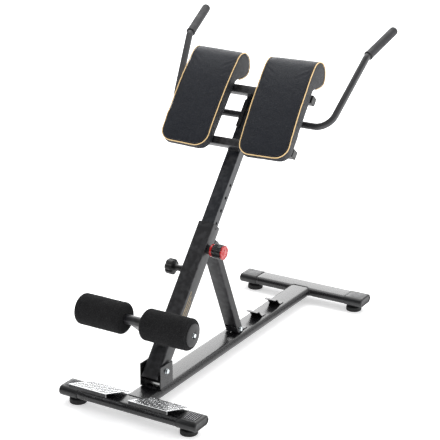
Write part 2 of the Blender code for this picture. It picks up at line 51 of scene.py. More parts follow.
BODIES = frame["record"]["behaviour"]["bodies"]
BODY_OF = {node: body for body, nodes in BODIES.items() for node in nodes}
SLOT_OF = {part["node"]: part["material_slot"] for part in frame["record"]["subparts"]}
SIDES = (("left", -1), ("right", 1))

# ------------------------------------------------------------ dimensions (metres)
LEAN = math.radians(39.75)
PIVOT = Vector((0.0, -0.4515, 0.1217))
COLUMN = Matrix.Translation(PIVOT) @ Matrix.Rotation(-LEAN, 4, "X")
Y_FRONT, Y_REAR = -0.6023, 0.6473
BASE_TOP, TUBE_H, CROSS_W, BEAM_W = 0.0640, 0.0340, 0.0890, 0.0940
CAP_START, CAP_END = 0.2053, 0.2800
FOOT_X = 0.2280
ROLL_S, ROLL_N, ROLL_R, ROLL_IN, ROLL_OUT = 0.0945, 0.2340, 0.0555, 0.0405, 0.2235
PIN_S, CLAMP_S = 0.4605, 0.3710
HOLE_FIRST, HOLE_PITCH, HOLES = 0.3599, 0.0503, 8
PAD_MID, PAD_HALF, PAD_TOE = 0.1598, 0.0983, math.radians(1.5)
PAD_BACK, PAD_LOW, PAD_RADIUS = 0.0735, 0.7990, (0.0360, 0.0500)
ROLL_CENTRE, BOLSTER_R = (1.1515, 0.0665), 0.0515
BAR_S = (0.8515, 1.0640)
SWELL = 0.0050
PLATE_IN, PLATE_OUT = 0.0450, 0.2000
PLATE_FRONT, PLATE_REAR = (-0.6913, 0.1125), (-0.5520, 0.0660)
FOOT_PIN = Vector((0.0, 0.0806, 0.0795))
HOOK_Y = (0.1101, 0.2536, 0.3971)


# ------------------------------------------------------------ materials
class Graph:
    """Small helper that wires one Principled material."""

    def __init__(self, name, colour, rough, metallic=0.0, **sockets):
        self.mat = bpy.data.materials.new(name)
        self.mat.use_nodes = True
        self.tree = self.mat.node_tree
        self.shader = self.tree.nodes["Principled BSDF"]
        self.set(self.shader, {"Base Color": (*colour, 1.0), "Roughness": rough, "Metallic": metallic})
        self.set(self.shader, {key.replace("_", " "): value for key, value in sockets.items()})
        self.colour, self.rough = colour, rough
        self.height = None
        coords = self.tree.nodes.new("ShaderNodeTexCoord")
        self.place = coords.outputs["Object"]

    def set(self, node, values):
        for key, value in values.items():
            node.inputs[key].default_value = value

    def add(self, kind, values=None, **attrs):
        node = self.tree.nodes.new(kind)
        for key, value in attrs.items():
            setattr(node, key, value)
        self.set(node, values or {})
        return node

    def link(self, out, into):
        self.tree.links.new(out, into)

    def noise(self, scale, detail=3.0, rough=0.5, stretch=None):
        node = self.add("ShaderNodeTexNoise", {"Scale": scale, "Detail": detail, "Roughness": rough})
        self.link(self.mapped(stretch), node.inputs["Vector"])
        return node.outputs["Fac"]

    def cells(self, scale, feature="F1", stretch=None, warp=0.0):
        node = self.add("ShaderNodeTexVoronoi", {"Scale": scale}, feature=feature)
        source = self.mapped(stretch)
        if warp:
            wobble = self.add("ShaderNodeTexNoise", {"Scale": scale * 0.5, "Detail": 2.0})
            self.link(source, wobble.inputs["Vector"])
            push = self.add("ShaderNodeVectorMath", operation="MULTIPLY_ADD")
            push.inputs[1].default_value = (warp, warp, warp)
            self.link(wobble.outputs["Color"], push.inputs[0])
            self.link(source, push.inputs[2])
            source = push.outputs[0]
        self.link(source, node.inputs["Vector"])
        return node.outputs["Distance"]

    def mapped(self, stretch):
        if stretch is None:
            return self.place
        node = self.add("ShaderNodeMapping")
        node.inputs["Scale"].default_value = stretch
        self.link(self.place, node.inputs["Vector"])
        return node.outputs["Vector"]

    def ramp(self, source, low, high, a=0.0, b=1.0):
        node = self.add("ShaderNodeMapRange", {"From Min": low, "From Max": high, "To Min": a, "To Max": b})
        self.link(source, node.inputs["Value"])
        return node.outputs["Result"]

    def math(self, kind, a, b):
        node = self.add("ShaderNodeMath", operation=kind)
        for slot, value in zip(node.inputs, (a, b)):
            if isinstance(value, (int, float)):
                slot.default_value = value
            else:
                self.link(value, slot)
        return node.outputs[0]

    def tint(self, factor, colour):
        """Mix another colour over the base colour."""
        node = self.add("ShaderNodeMix", data_type="RGBA")
        self.link(factor, node.inputs["Factor"])
        base = self.shader.inputs["Base Color"]
        if base.is_linked:
            self.link(base.links[0].from_socket, node.inputs["A"])
        else:
            node.inputs["A"].default_value = base.default_value
        node.inputs["B"].default_value = (*colour, 1.0)
        self.link(node.outputs["Result"], base)

    def roughen(self, source, low, high):
        self.link(self.ramp(source, 0.3, 0.7, low, high), self.shader.inputs["Roughness"])

    def bump(self, source, distance, strength=1.0):
        node = self.add("ShaderNodeBump", {"Strength": strength, "Distance": distance})
        self.link(source, node.inputs["Height"])
        into = self.shader.inputs["Normal"]
        if into.is_linked:
            self.link(into.links[0].from_socket, node.inputs["Normal"])
        self.link(node.outputs["Normal"], into)

    def edges(self, low=0.52, high=0.60):
        """White along convex edges, broken up by noise."""
        geo = self.add("ShaderNodeNewGeometry")
        edge = self.ramp(geo.outputs["Pointiness"], low, high)
        patch = self.ramp(self.noise(55.0, 4.0), 0.42, 0.62)
        return self.math("MULTIPLY", edge, patch)


def powder_coat(name, colour, rough, wear=0.30, gloss=0.5):
    g = Graph(name, colour, rough, Specular_IOR_Level=gloss)
    g.tint(g.ramp(g.noise(7.0, 4.0), 0.35, 0.70, 0.0, 0.2), tuple(c * 1.5 for c in colour))
    g.tint(g.ramp(g.noise(520.0, 2.0), 0.45, 0.65, 0.0, 0.3), tuple(c * 1.6 for c in colour))
    g.tint(g.math("MULTIPLY", g.edges(), wear), (0.16, 0.16, 0.17))
    g.roughen(g.noise(260.0, 3.0), rough - 0.02, rough + 0.03)
    g.bump(g.noise(620.0, 2.0), 0.00025, 0.22)
    g.bump(g.noise(240.0, 2.0), 0.0003, 0.04)
    return g.mat


def moulded(name, colour, rough, grain=900.0, depth=0.35):
    g = Graph(name, colour, rough)
    g.tint(g.ramp(g.noise(26.0, 4.0), 0.35, 0.7, 0.0, 0.45), tuple(c * 1.9 + 0.004 for c in colour))
    g.roughen(g.noise(60.0, 3.0), rough - 0.07, rough + 0.08)
    g.bump(g.cells(grain, warp=0.0006), 0.00025, depth)
    return g.mat


def make_materials():
    m = {}
    m["satin_black_paint"] = powder_coat("powder_coat_black", (0.0095, 0.0096, 0.0110), 0.33)
    m["base_paint"] = powder_coat("powder_coat_base", (0.0070, 0.0071, 0.0080), 0.27)
    m["strut_paint"] = powder_coat("powder_coat_strut", (0.0070, 0.0071, 0.0082), 0.38, gloss=0.32)
    # The handlebar's black is a lighter copy of the frame paint: painted light standing in for the highlight
    # along its tubes
    m["handle_paint"] = powder_coat("powder_coat_handle_lit", (0.0230, 0.0230, 0.0255), 0.42, gloss=0.62)
    m["gloss_plastic"] = moulded("gloss_plastic_black", (0.0060, 0.0061, 0.0068), 0.16, 500.0, 0.1)
    m["post_paint"] = powder_coat("powder_coat_post", (0.0080, 0.0098, 0.0130), 0.30)
    m["black_plastic"] = moulded("moulded_plastic_black", (0.0060, 0.0061, 0.0068), 0.40)
    m["pebbled"] = moulded("moulded_plastic_pebbled", (0.030, 0.031, 0.033), 0.42, 260.0, 1.0)
    # Light grey on the front caps' ribs is painted highlight: the light caught by black plastic ribs
    m["cap_rib"] = moulded("cap_rib_painted_highlight", (0.170, 0.170, 0.180), 0.28, 900.0, 0.15)
    # Near-black matte floor between the front caps' ribs: painted shade in the grooves
    m["cap_painted_shade"] = powder_coat("cap_painted_shade", (0.0040, 0.0040, 0.0044), 0.85, 0.0, 0.04)
    m["disc_grey"] = moulded("roller_disc_grey", (0.0075, 0.0075, 0.0088), 0.52)
    m["black_rubber"] = moulded("rubber_black", (0.0110, 0.0110, 0.0115), 0.72, 700.0, 0.5)
    m["grip"] = grip_rubber()
    m["red_gloss"] = red_plastic()
    m["zinc_bolt"] = zinc()
    m["bright_tread_plate"] = tread_metal()
    m["tread_painted_shade"] = tread_painted_shade()
    m["roller_foam"] = foam()
    m["pad_leatherette"] = leatherette("leatherette", (0.0045, 0.0058, 0.0095))
    # Lighter copy of the leatherette for the pads' side panels: painted light on the sides
    m["pad_side"] = leatherette("lit_leatherette_side", (0.0085, 0.0092, 0.0115))
    m["piping"] = piping_cloth()
    m["thread"] = thread()
    m["pad_board"] = board()
    m["pinstripe"] = moulded("pinstripe_gold", (0.42, 0.29, 0.11), 0.45)
    m["weld"] = weld_metal()
    return m


def grip_rubber():
    g = Graph("grip_rubber", (0.0200, 0.0200, 0.0225), 0.62)
    g.tint(g.ramp(g.noise(80.0, 3.0), 0.4, 0.7, 0.0, 0.5), (0.034, 0.034, 0.037))
    g.bump(g.cells(480.0), 0.0005, 0.6)
    g.roughen(g.noise(30.0), 0.55, 0.72)
    return g.mat


def red_plastic():
    g = Graph("red_gloss_plastic", (0.40, 0.007, 0.009), 0.20, Coat_Weight=0.35, Coat_Roughness=0.06)
    g.tint(g.ramp(g.noise(70.0, 3.0), 0.35, 0.7, 0.0, 0.4), (0.36, 0.008, 0.010))
    g.bump(g.noise(350.0, 2.0), 0.0002, 0.25)
    g.roughen(g.noise(45.0), 0.10, 0.20)
    return g.mat


def zinc():
    g = Graph("zinc_plate", (0.70, 0.74, 0.76), 0.25, 1.0)
    g.tint(g.ramp(g.noise(240.0, 4.0), 0.4, 0.7, 0.0, 0.6), (0.48, 0.52, 0.54))
    g.roughen(g.noise(300.0, 3.0), 0.18, 0.38)
    g.bump(g.noise(900.0, 2.0), 0.0002, 0.3)
    return g.mat


def tread_metal():
    g = Graph("bright_tread_metal", (0.86, 0.87, 0.88), 0.16, 1.0)
    g.tint(g.ramp(g.noise(30.0, 5.0), 0.45, 0.75, 0.0, 0.5), (0.62, 0.63, 0.65))
    g.tint(g.ramp(g.noise(420.0, 2.0, stretch=(1.0, 0.06, 1.0)), 0.52, 0.75, 0.0, 0.35), (0.50, 0.51, 0.52))
    g.roughen(g.noise(90.0, 4.0), 0.10, 0.28)
    g.bump(g.noise(260.0, 3.0), 0.00025, 0.3)
    return g.mat


# Dark rim round the foot of each raised tread bar: painted shade and painted reflection at the bars' sloping
# sides
def tread_painted_shade():
    g = Graph("tread_painted_shade", (0.016, 0.016, 0.018), 0.55)
    g.tint(g.ramp(g.noise(300.0, 3.0), 0.35, 0.70, 0.0, 0.5), (0.05, 0.05, 0.054))
    g.bump(g.noise(700.0, 2.0), 0.0002, 0.4)
    return g.mat


def foam():
    g = Graph("closed_cell_foam", (0.0062, 0.0062, 0.0068), 0.95, Specular_IOR_Level=0.18)
    pores = g.ramp(g.cells(520.0, warp=0.0012), 0.10, 0.55)
    g.tint(g.ramp(g.noise(45.0, 5.0), 0.35, 0.70, 0.0, 0.8), (0.0095, 0.0095, 0.0102))
    g.tint(g.ramp(g.noise(420.0, 2.0), 0.50, 0.66, 0.0, 0.8), (0.026, 0.026, 0.027))
    g.bump(pores, 0.0011, 0.8)
    g.bump(g.noise(120.0, 4.0), 0.0014, 0.35)
    return g.mat


def leatherette(name, colour):
    g = Graph(name, colour, 0.50, Specular_IOR_Level=0.35)
    grain = g.cells(430.0, warp=0.0020)
    fine = g.cells(900.0, warp=0.0008)
    crease = g.noise(26.0, 5.0, 0.6)
    g.tint(g.ramp(grain, 0.25, 0.75, 0.0, 0.9), tuple(c * 2.1 for c in colour))
    g.tint(g.ramp(crease, 0.40, 0.72, 0.0, 0.5), tuple(c * 1.7 for c in colour))
    g.roughen(g.noise(210.0, 3.0), 0.42, 0.58)
    g.bump(crease, 0.0030, 0.16)
    g.bump(grain, 0.0010, 0.75)
    g.bump(fine, 0.0003, 0.35)
    return g.mat


def piping_cloth():
    g = Graph("piping_gold", (0.72, 0.50, 0.24), 0.42)
    g.tint(g.ramp(g.noise(180.0, 3.0), 0.38, 0.66, 0.0, 0.9), (0.82, 0.58, 0.28))
    g.bump(g.cells(800.0), 0.0004, 0.6)
    g.roughen(g.noise(90.0), 0.34, 0.55)
    return g.mat


def thread():
    g = Graph("stitch_thread", (0.020, 0.020, 0.023), 0.55, Sheen_Weight=0.3)
    g.tint(g.ramp(g.noise(900.0, 2.0), 0.4, 0.6, 0.0, 0.6), (0.06, 0.06, 0.07))
    g.bump(g.noise(1800.0, 1.0), 0.0002, 0.5)
    return g.mat


def board():
    g = Graph("board_cover", (0.017, 0.0165, 0.016), 0.80)
    weave = g.add("ShaderNodeTexWave", {"Scale": 260.0, "Distortion": 1.2, "Detail": 1.0})
    g.link(g.place, weave.inputs["Vector"])
    g.tint(g.ramp(weave.outputs["Fac"], 0.3, 0.8, 0.0, 0.6), (0.034, 0.033, 0.032))
    g.bump(weave.outputs["Fac"], 0.0004, 0.5)
    g.bump(g.noise(300.0, 3.0), 0.0004, 0.4)
    return g.mat


def weld_metal():
    g = Graph("painted_weld", (0.016, 0.0165, 0.018), 0.34)
    g.tint(g.ramp(g.noise(500.0, 3.0), 0.4, 0.7, 0.0, 0.5), (0.035, 0.035, 0.038))
    g.bump(g.noise(380.0, 3.0), 0.0006, 0.5)
    return g.mat


# ------------------------------------------------------------ shapes
def oval_loop(width, height, steps=16):
    r = height / 2
    pts = []
    for side, start in ((1, -90), (-1, 90)):
        for k in range(steps + 1):
            a = math.radians(start + 180 * k / steps)
            pts.append((side * (width / 2 - r) + r * math.cos(a), r * math.sin(a)))
    return pts


def rect_loop(width, height, radius, steps=5):
    pts = []
    for cx, cy, start in ((1, 1, 0), (-1, 1, 90), (-1, -1, 180), (1, -1, 270)):
        for k in range(steps + 1):
            a = math.radians(start + 90 * k / steps)
            pts.append((cx * (width / 2 - radius) + radius * math.cos(a),
                        cy * (height / 2 - radius) + radius * math.sin(a)))
    return pts


def disc_loop(radius, steps=48):
    turn = 2 * math.pi / steps
    return [(radius * math.cos(k * turn), radius * math.sin(k * turn)) for k in range(steps)]


def lobe_loop(radius, depth, lobes=7, per=16):
    pts = []
    for k in range(lobes * per):
        a = 2 * math.pi * k / (lobes * per)
        dip = max(0.0, -math.cos(lobes * a)) ** 1.4
        pts.append(((radius - depth * dip) * math.cos(a), (radius - depth * dip) * math.sin(a)))
    return pts


def skin(bm, one, two):
    n = len(one)
    for k in range(n):
        bm.faces.new((one[k], one[(k + 1) % n], two[(k + 1) % n], two[k]))


def loft(sections, closed=False, caps=(True, True), bm=None):
    """sections: (loop, place) pairs; closed joins the last ring to the first."""
    own = bm is None
    bm = bm or bmesh.new()
    rings = [[bm.verts.new(place(a, b)) for a, b in loop] for loop, place in sections]
    for one, two in zip(rings, rings[1:]):
        skin(bm, one, two)
    if closed:
        skin(bm, rings[-1], rings[0])
    elif caps[0]:
        bm.faces.new(rings[0])
    if caps[1] and not closed:
        bm.faces.new(rings[-1])
    if own:
        bmesh.ops.recalc_face_normals(bm, faces=bm.faces)
    return bm


def along_x(t, cy=0.0, cz=0.0):
    return lambda a, b: Vector((t, cy + a, cz + b))


def turned(profile, cy, cz, steps=56, closed=False):
    """Revolve (x, radius) pairs about an axis along X."""
    return loft([(disc_loop(max(r, 0.0002), steps), along_x(t, cy, cz)) for t, r in profile], closed)


def arc(cx, cr, radius, start, stop, steps=6):
    """Points (x, r) on a quarter-round of a turned profile, in degrees."""
    return [(cx + radius * math.cos(math.radians(start + (stop - start) * k / steps)),
             cr + radius * math.sin(math.radians(start + (stop - start) * k / steps)))
            for k in range(steps + 1)]


def tube(bm, path, radius, steps=12, closed=False):
    """Round tube along a path; radius may be a function of the point's index."""
    side = None
    rings = []
    n = len(path)
    for i, p in enumerate(path):
        before = path[(i - 1) % n] if closed else path[max(0, i - 1)]
        after = path[(i + 1) % n] if closed else path[min(n - 1, i + 1)]
        forward = (after - before).normalized()
        if side is None:
            side = forward.orthogonal().normalized()
        side = (side - forward * side.dot(forward)).normalized()
        up = forward.cross(side)
        r = radius(i) if callable(radius) else radius
        rings.append([bm.verts.new(p + side * a + up * b) for a, b in disc_loop(r, steps)])
    for one, two in zip(rings, rings[1:]):
        skin(bm, one, two)
    if closed:
        best = min(range(steps), key=lambda k: (rings[0][k].co - rings[-1][0].co).length)
        last = rings[-1]
        first = rings[0][best:] + rings[0][:best]
        skin(bm, last, first)
    else:
        bm.faces.new(rings[0])
        bm.faces.new(rings[-1])
    return bm


def spread(points, pitch, closed=False):
    """Evenly spaced points along a polyline."""
    pts = list(points) + ([points[0]] if closed else [])
    gaps = [(b - a).length for a, b in zip(pts, pts[1:])]
    total = sum(gaps)
    count = max(2, int(round(total / pitch)))
    out, walked, k = [], 0.0, 0
    for i in range(count + (0 if closed else 1)):
        want = min(total * i / count, total - 1e-9)
        while walked + gaps[k] < want:
            walked += gaps[k]
            k += 1
        f = (want - walked) / gaps[k]
        out.append(pts[k].lerp(pts[k + 1], f))
    return out


def finish_mesh(name, bm, mat, smooth=40, transform=None):
    if transform is not None:
        bm.transform(transform)
    bmesh.ops.recalc_face_normals(bm, faces=bm.faces)
    mesh = bpy.data.meshes.new(name)
    bm.to_mesh(mesh)
    bm.free()
    mats = mat if isinstance(mat, (list, tuple)) else [mat]
    for item in mats:
        mesh.materials.append(item)
    mesh.shade_smooth()
    if smooth < 180:
        mesh.set_sharp_from_angle(angle=math.radians(smooth))
    obj = bpy.data.objects.new(name, mesh)
    bpy.context.scene.collection.objects.link(obj)
    return obj


def bevel(obj, width, segments=3, angle=35):
    mod = obj.modifiers.new("edges", "BEVEL")
    mod.width = width
    mod.segments = segments
    mod.limit_method = "ANGLE"
    mod.angle_limit = math.radians(angle)
    mod.harden_normals = True
    mod.use_clamp_overlap = True


def attach(obj, body, nodes=(), slot=None):
    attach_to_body(obj, body)
    for node in nodes:
        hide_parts(node)
    if slot is None and nodes:
        slot = SLOT_OF[nodes[0]]
    return obj


def refined(node, mat, width=0.0008, angle=35, segments=3):
    """A copy of a CAD node with its facets merged and its edges rounded."""
    bm = bmesh.new()
    bm.from_mesh(NODES[node].data)
    bmesh.ops.remove_doubles(bm, verts=bm.verts, dist=1e-6)
    bmesh.ops.dissolve_limit(bm, angle_limit=math.radians(0.7), verts=bm.verts, edges=bm.edges)
    obj = finish_mesh(node + "_finish", bm, mat, angle)
    if width:
        bevel(obj, width, segments, angle)
    return attach(obj, BODY_OF[node], [node])


# ------------------------------------------------------------ frame
def frame_finishes(m):
    paint = m["satin_black_paint"]
    fine = {"column_clevis": 0.0010, "rack_hook_1": 0.0007, "rack_hook_2": 0.0007, "rack_hook_3": 0.0007,
            "foot_plate_bracket_left": 0.0006, "foot_plate_bracket_right": 0.0006,
            "outer_column": 0.0007, "roller_arm": 0.0006, "roller_axle": 0.0010, "strut_bracket": 0.0010,
            "strut_tube": 0.0007, "post_boss_left": 0.0012, "post_boss_right": 0.0012,
            "crossbar_spacer_lower": 0.0008, "crossbar_spacer_upper": 0.0008,
            "pad_crossbar_lower": 0.0007, "pad_crossbar_upper": 0.0007}
    for node, width in fine.items():
        refined(node, {"base": m["base_paint"], "strut": m["strut_paint"]}.get(BODY_OF[node], paint), width)
    refined("inner_post", m["post_paint"], 0.0005)
    for node in ("column_liner", "bar_plug_lower_left", "bar_plug_lower_right", "bar_plug_upper_left",
                 "bar_plug_upper_right", "clamp_boss"):
        refined(node, m["black_plastic"], 0.0006)
    for node in ("clevis_bolt", "strut_bolt", "foot_pin", "roller_bolt_left", "roller_bolt_right"):
        refined(node, m["zinc_bolt"], 0.0006, 30)
    for tag in ("left", "right"):
        refined("pad_board_" + tag, m["pad_board"], 0.0010)


def base_tubes(m):
    """The flat-oval tubes, finer than their CAD solids."""
    mid = BASE_TOP - TUBE_H / 2
    for node, y in (("front_crossbar", Y_FRONT), ("rear_crossbar", Y_REAR)):
        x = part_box(node)[1].x
        stations = [-x, -x + 0.0006] + [x * k / 12 for k in range(-11, 12)] + [x - 0.0006, x]
        sections = []
        for k, t in enumerate(stations):
            trim = 0.0006 if k in (0, len(stations) - 1) else 0.0
            sections.append((oval_loop(CROSS_W - trim, TUBE_H - trim, 20), along_x(t, y, mid)))
        attach(finish_mesh(node + "_finish", loft(sections), m["base_paint"]), "base", [node])
    outline = oval_loop(BEAM_W, TUBE_H, 20)
    bm = bmesh.new()
    rings = []
    for k in range(25):
        f = k / 24
        ring = []
        for a, b in outline:
            low, high = (cope(end, b, sign) for end, sign in ((Y_FRONT, 1), (Y_REAR, -1)))
            ring.append(bm.verts.new(Vector((a, low + (high - low) * f, mid + b))))
        rings.append(ring)
    for one, two in zip(rings, rings[1:]):
        skin(bm, one, two)
    attach(finish_mesh("main_beam_finish", bm, m["base_paint"]), "base", ["main_beam"])


def cope(y, b, sign):
    """Where the beam's wall meets a crossbar's rounded flank."""
    r = TUBE_H / 2
    flat = CROSS_W / 2 - r
    return y + sign * (flat + math.sqrt(max(0.0, r * r - b * b)) - 0.0006)


def weld(name, body, path, radius, m, closed=False, transform=None):
    """A rippled weld bead along a path."""
    pts = spread([Vector(p) for p in path], radius * 0.55, closed)
    seed = random.Random(name)
    swell = [1.0 + 0.16 * math.sin(i * 2.1) + seed.uniform(-0.07, 0.07) for i in range(len(pts))]
    bm = tube(bmesh.new(), pts, lambda i: radius * swell[i], 8, closed)
    obj = finish_mesh(name, bm, m["weld"], 180, transform)
    return attach(obj, body, slot="satin_black_paint")


def welds(m):
    mid = BASE_TOP - TUBE_H / 2
    for tag, y, sign in (("front", Y_FRONT, 1), ("rear", Y_REAR, -1)):
        path = []
        for a, b in oval_loop(BEAM_W + 0.001, TUBE_H + 0.0004, 20):
            path.append(Vector((a, cope(y, b, sign) + sign * 0.0004, mid + b)))
        weld("beam_weld_" + tag, "base", path, 0.0019, m, True)
    top = BASE_TOP + 0.0002
    lo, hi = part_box("column_clevis")
    for tag, x in (("left", lo.x), ("right", hi.x)):
        weld("clevis_weld_" + tag, "base", [(x, lo.y + 0.003, top), (x, hi.y - 0.003, top)], 0.0020, m)
    weld("clevis_weld_back", "base", [(lo.x + 0.003, hi.y, top), (hi.x - 0.003, hi.y, top)], 0.0020, m)
    for k, y in enumerate(HOOK_Y):
        for tag, side in SIDES:
            x = side * 0.0243
            weld("hook_weld_%d_%s" % (k + 1, tag), "base", [(x, y + 0.004, top), (x, y + 0.028, top)],
                 0.0016, m)
        weld("hook_weld_%d_end" % (k + 1), "base", [(-0.022, y + 0.0292, top), (0.022, y + 0.0292, top)],
             0.0016, m)
    for tag, side in SIDES:
        for part, y in (("front", -0.6290), ("back", -0.5830)):
            xs = sorted((side * 0.0905, side * 0.1545))
            weld("bracket_weld_%s_%s" % (part, tag), "base", [(xs[0], y, top), (xs[1], y, top)], 0.0016, m)
    face = 0.0270 + 0.0002
    ring = [Vector((a, -face, ROLL_S + b)) for a, b in rect_loop(0.0388, 0.0348, 0.004)]
    weld("arm_weld", "column", ring, 0.0020, m, True, COLUMN)
    saddle = []
    for k in range(33):
        a = 2 * math.pi * k / 33
        x, z = 0.0192 * math.cos(a), 0.0162 * math.sin(a)
        saddle.append(Vector((x, -ROLL_N + math.sqrt(max(0.0, 0.0172 ** 2 - z * z)), ROLL_S + z)))
    weld("axle_weld", "column", saddle, 0.0018, m, True, COLUMN)
    for tag, side in SIDES:
        path = [(side * 0.0290, 0.0272, 0.4720), (side * 0.0290, 0.0272, 0.5070)]
        weld("strut_bracket_weld_" + tag, "column", path, 0.0018, m, False, COLUMN)
        ring = [Vector((side * 0.0262, 0.0133 * math.cos(a), 0.9890 + 0.0133 * math.sin(a)))
                for a in (2 * math.pi * k / 28 for k in range(28))]
        weld("handlebar_weld_" + tag, "carriage", ring, 0.0018, m, True, COLUMN)
        lo_x, hi_x = sorted((side * 0.0093, side * 0.0247))
        for part, x in (("in", lo_x), ("out", hi_x)):
            weld("boss_weld_%s_%s" % (part, tag), "carriage",
                 [(x, -0.0198, 0.9420), (x, -0.0198, 1.0300)], 0.0010, m, False, COLUMN)
    for tag, s in (("lower", BAR_S[0]), ("upper", BAR_S[1])):
        for part, n in (("post", 0.0199), ("bar", 0.0357)):
            ring = [Vector((a, -n, s + b)) for a, b in rect_loop(0.0466, 0.0246, 0.002)]
            weld("spacer_weld_%s_%s" % (part, tag), "carriage", ring, 0.0014, m, True, COLUMN)


def end_caps(m):
    """Moulded end caps: a lipped sleeve, a dished end and ribs or pebbles on top."""
    mid = BASE_TOP - TUBE_H / 2
    for row, y in (("front", Y_FRONT), ("rear", Y_REAR)):
        for tag, side in SIDES:
            w, h = CROSS_W + 0.0026, TUBE_H + 0.0026
            run = [(CAP_START, -0.0040), (CAP_START, -0.0006), (CAP_START + 0.0006, 0.0),
                   (CAP_START + 0.020, 0.0002)]
            for turn in (math.radians(a) for a in (0, 14, 28, 42, 55, 68, 78)):
                run.append((CAP_END - 0.007 * (1 - math.sin(turn)), 0.0002 - 0.014 * (1 - math.cos(turn))))
            run += [(CAP_END, -0.0125), (CAP_END - 0.0001, -0.0140), (CAP_END - 0.0008, -0.0150),
                    (CAP_END - 0.0020, -0.0157), (CAP_END - 0.0024, -0.0230)]
            sections = [(oval_loop(w + d, h + d, 20), along_x(side * t, y, mid)) for t, d in run]
            name = "%s_cap_%s" % (row, tag)
            bm = loft(sections)
            top = BASE_TOP + 0.0012
            if row == "front":
                ribs(bm, side, y, top)
            else:
                pad_patch(bm, side, y, top)
            # Front caps: light grey ribs (painted highlight) over a near-black rib floor (painted shade)
            panel = m["cap_rib"] if row == "front" else m["pebbled"]
            cap = finish_mesh(name + "_finish", bm, [m["black_plastic"], panel, m["cap_painted_shade"]], 50)
            attach(cap, "base", [name])
            collar = [(oval_loop(w + 0.0012 * math.cos(a) - 0.0010, h + 0.0012 * math.cos(a) - 0.0010, 20),
                       along_x(side * (CAP_START - 0.0013 + 0.0013 * math.sin(a)), y, mid))
                      for a in (2 * math.pi * k / 8 for k in range(8))]
            seal = finish_mesh(name + "_seal", loft(collar, closed=True), m["black_rubber"], 180)
            attach(seal, "base", slot="black_plastic")


def ribs(bm, side, y, top):
    """Six low ribs along Y on the flat of a front cap."""
    half = 0.0245
    floor = rect_loop(0.0470, 2 * half + 0.0010, 0.002)
    # Floor between the ribs, in the near-black third material: painted shade
    merge(bm, loft([(floor, lambda a, b, z=z: Vector((side * 0.24245 + a, y + b, top + z)))
                    for z in (-0.0004, 0.0005)]), 2)
    for k in range(6):
        x = side * (0.2232 + 0.0077 * k)
        path = [Vector((x, y - half + 2 * half * j / 8, top - 0.0003)) for j in range(9)]
        rib = tube(bmesh.new(), path, 0.0020, 10)
        # Material index 1 is the light grey rib colour, a painted highlight
        merge(bm, rib, 1)


def merge(bm, other, index=0):
    mesh = bpy.data.meshes.new("scratch")
    for face in other.faces:
        face.material_index = index
    other.to_mesh(mesh)
    other.free()
    bm.from_mesh(mesh)
    bpy.data.meshes.remove(mesh)


def pad_patch(bm, side, y, top):
    """A raised pebbled panel on the flat of a rear cap."""
    cx = side * 0.2440
    levels = ((0.0, 0.0), (0.0006, 0.0), (0.0011, -0.0010))
    base = [(rect_loop(0.0520 + 2 * d, 0.0480 + 2 * d, 0.006),
             lambda a, b, z=z: Vector((cx + a, y + b, top - 0.0003 + z))) for z, d in levels]
    merge(bm, loft(base), 1)
    seed = random.Random(5)
    for i in range(9):
        for j in range(8):
            r = seed.uniform(0.0016, 0.0024)
            px = cx - 0.0220 + i * 0.0055 + seed.uniform(-0.0008, 0.0008)
            py = y - 0.0195 + j * 0.0056 + seed.uniform(-0.0008, 0.0008)
            dot = bmesh.new()
            bmesh.ops.create_icosphere(dot, subdivisions=1, radius=r)
            dot.transform(Matrix.Translation((px, py, top + 0.0006)) @ Matrix.Diagonal((1, 1, 0.35, 1)))
            merge(bm, dot, 1)


def feet(m):
    """Rubber feet: a stem, a flared disc with grip rings, flat underneath."""
    for row, y in (("front", Y_FRONT), ("rear", Y_REAR)):
        for tag, side in SIDES:
            profile = [(0.0, 0.0275), (0.0, 0.0290), (0.0008, 0.0303), (0.0020, 0.0308), (0.0040, 0.0310),
                       (0.0046, 0.0303), (0.0052, 0.0303), (0.0058, 0.0310), (0.0090, 0.0310),
                       (0.0096, 0.0303), (0.0102, 0.0303), (0.0108, 0.0309), (0.0140, 0.0306),
                       (0.0165, 0.0296), (0.0182, 0.0270), (0.0190, 0.0225), (0.0196, 0.0178),
                       (0.0210, 0.0164), (0.0240, 0.0160), (0.0278, 0.0160)]
            sections = [(disc_loop(r, 56), lambda a, b, z=z: Vector((side * FOOT_X + a, y + b, z)))
                        for z, r in profile]
            name = "%s_foot_%s" % (row, tag)
            attach(finish_mesh(name + "_finish", loft(sections), m["black_rubber"], 38), "base", [name])


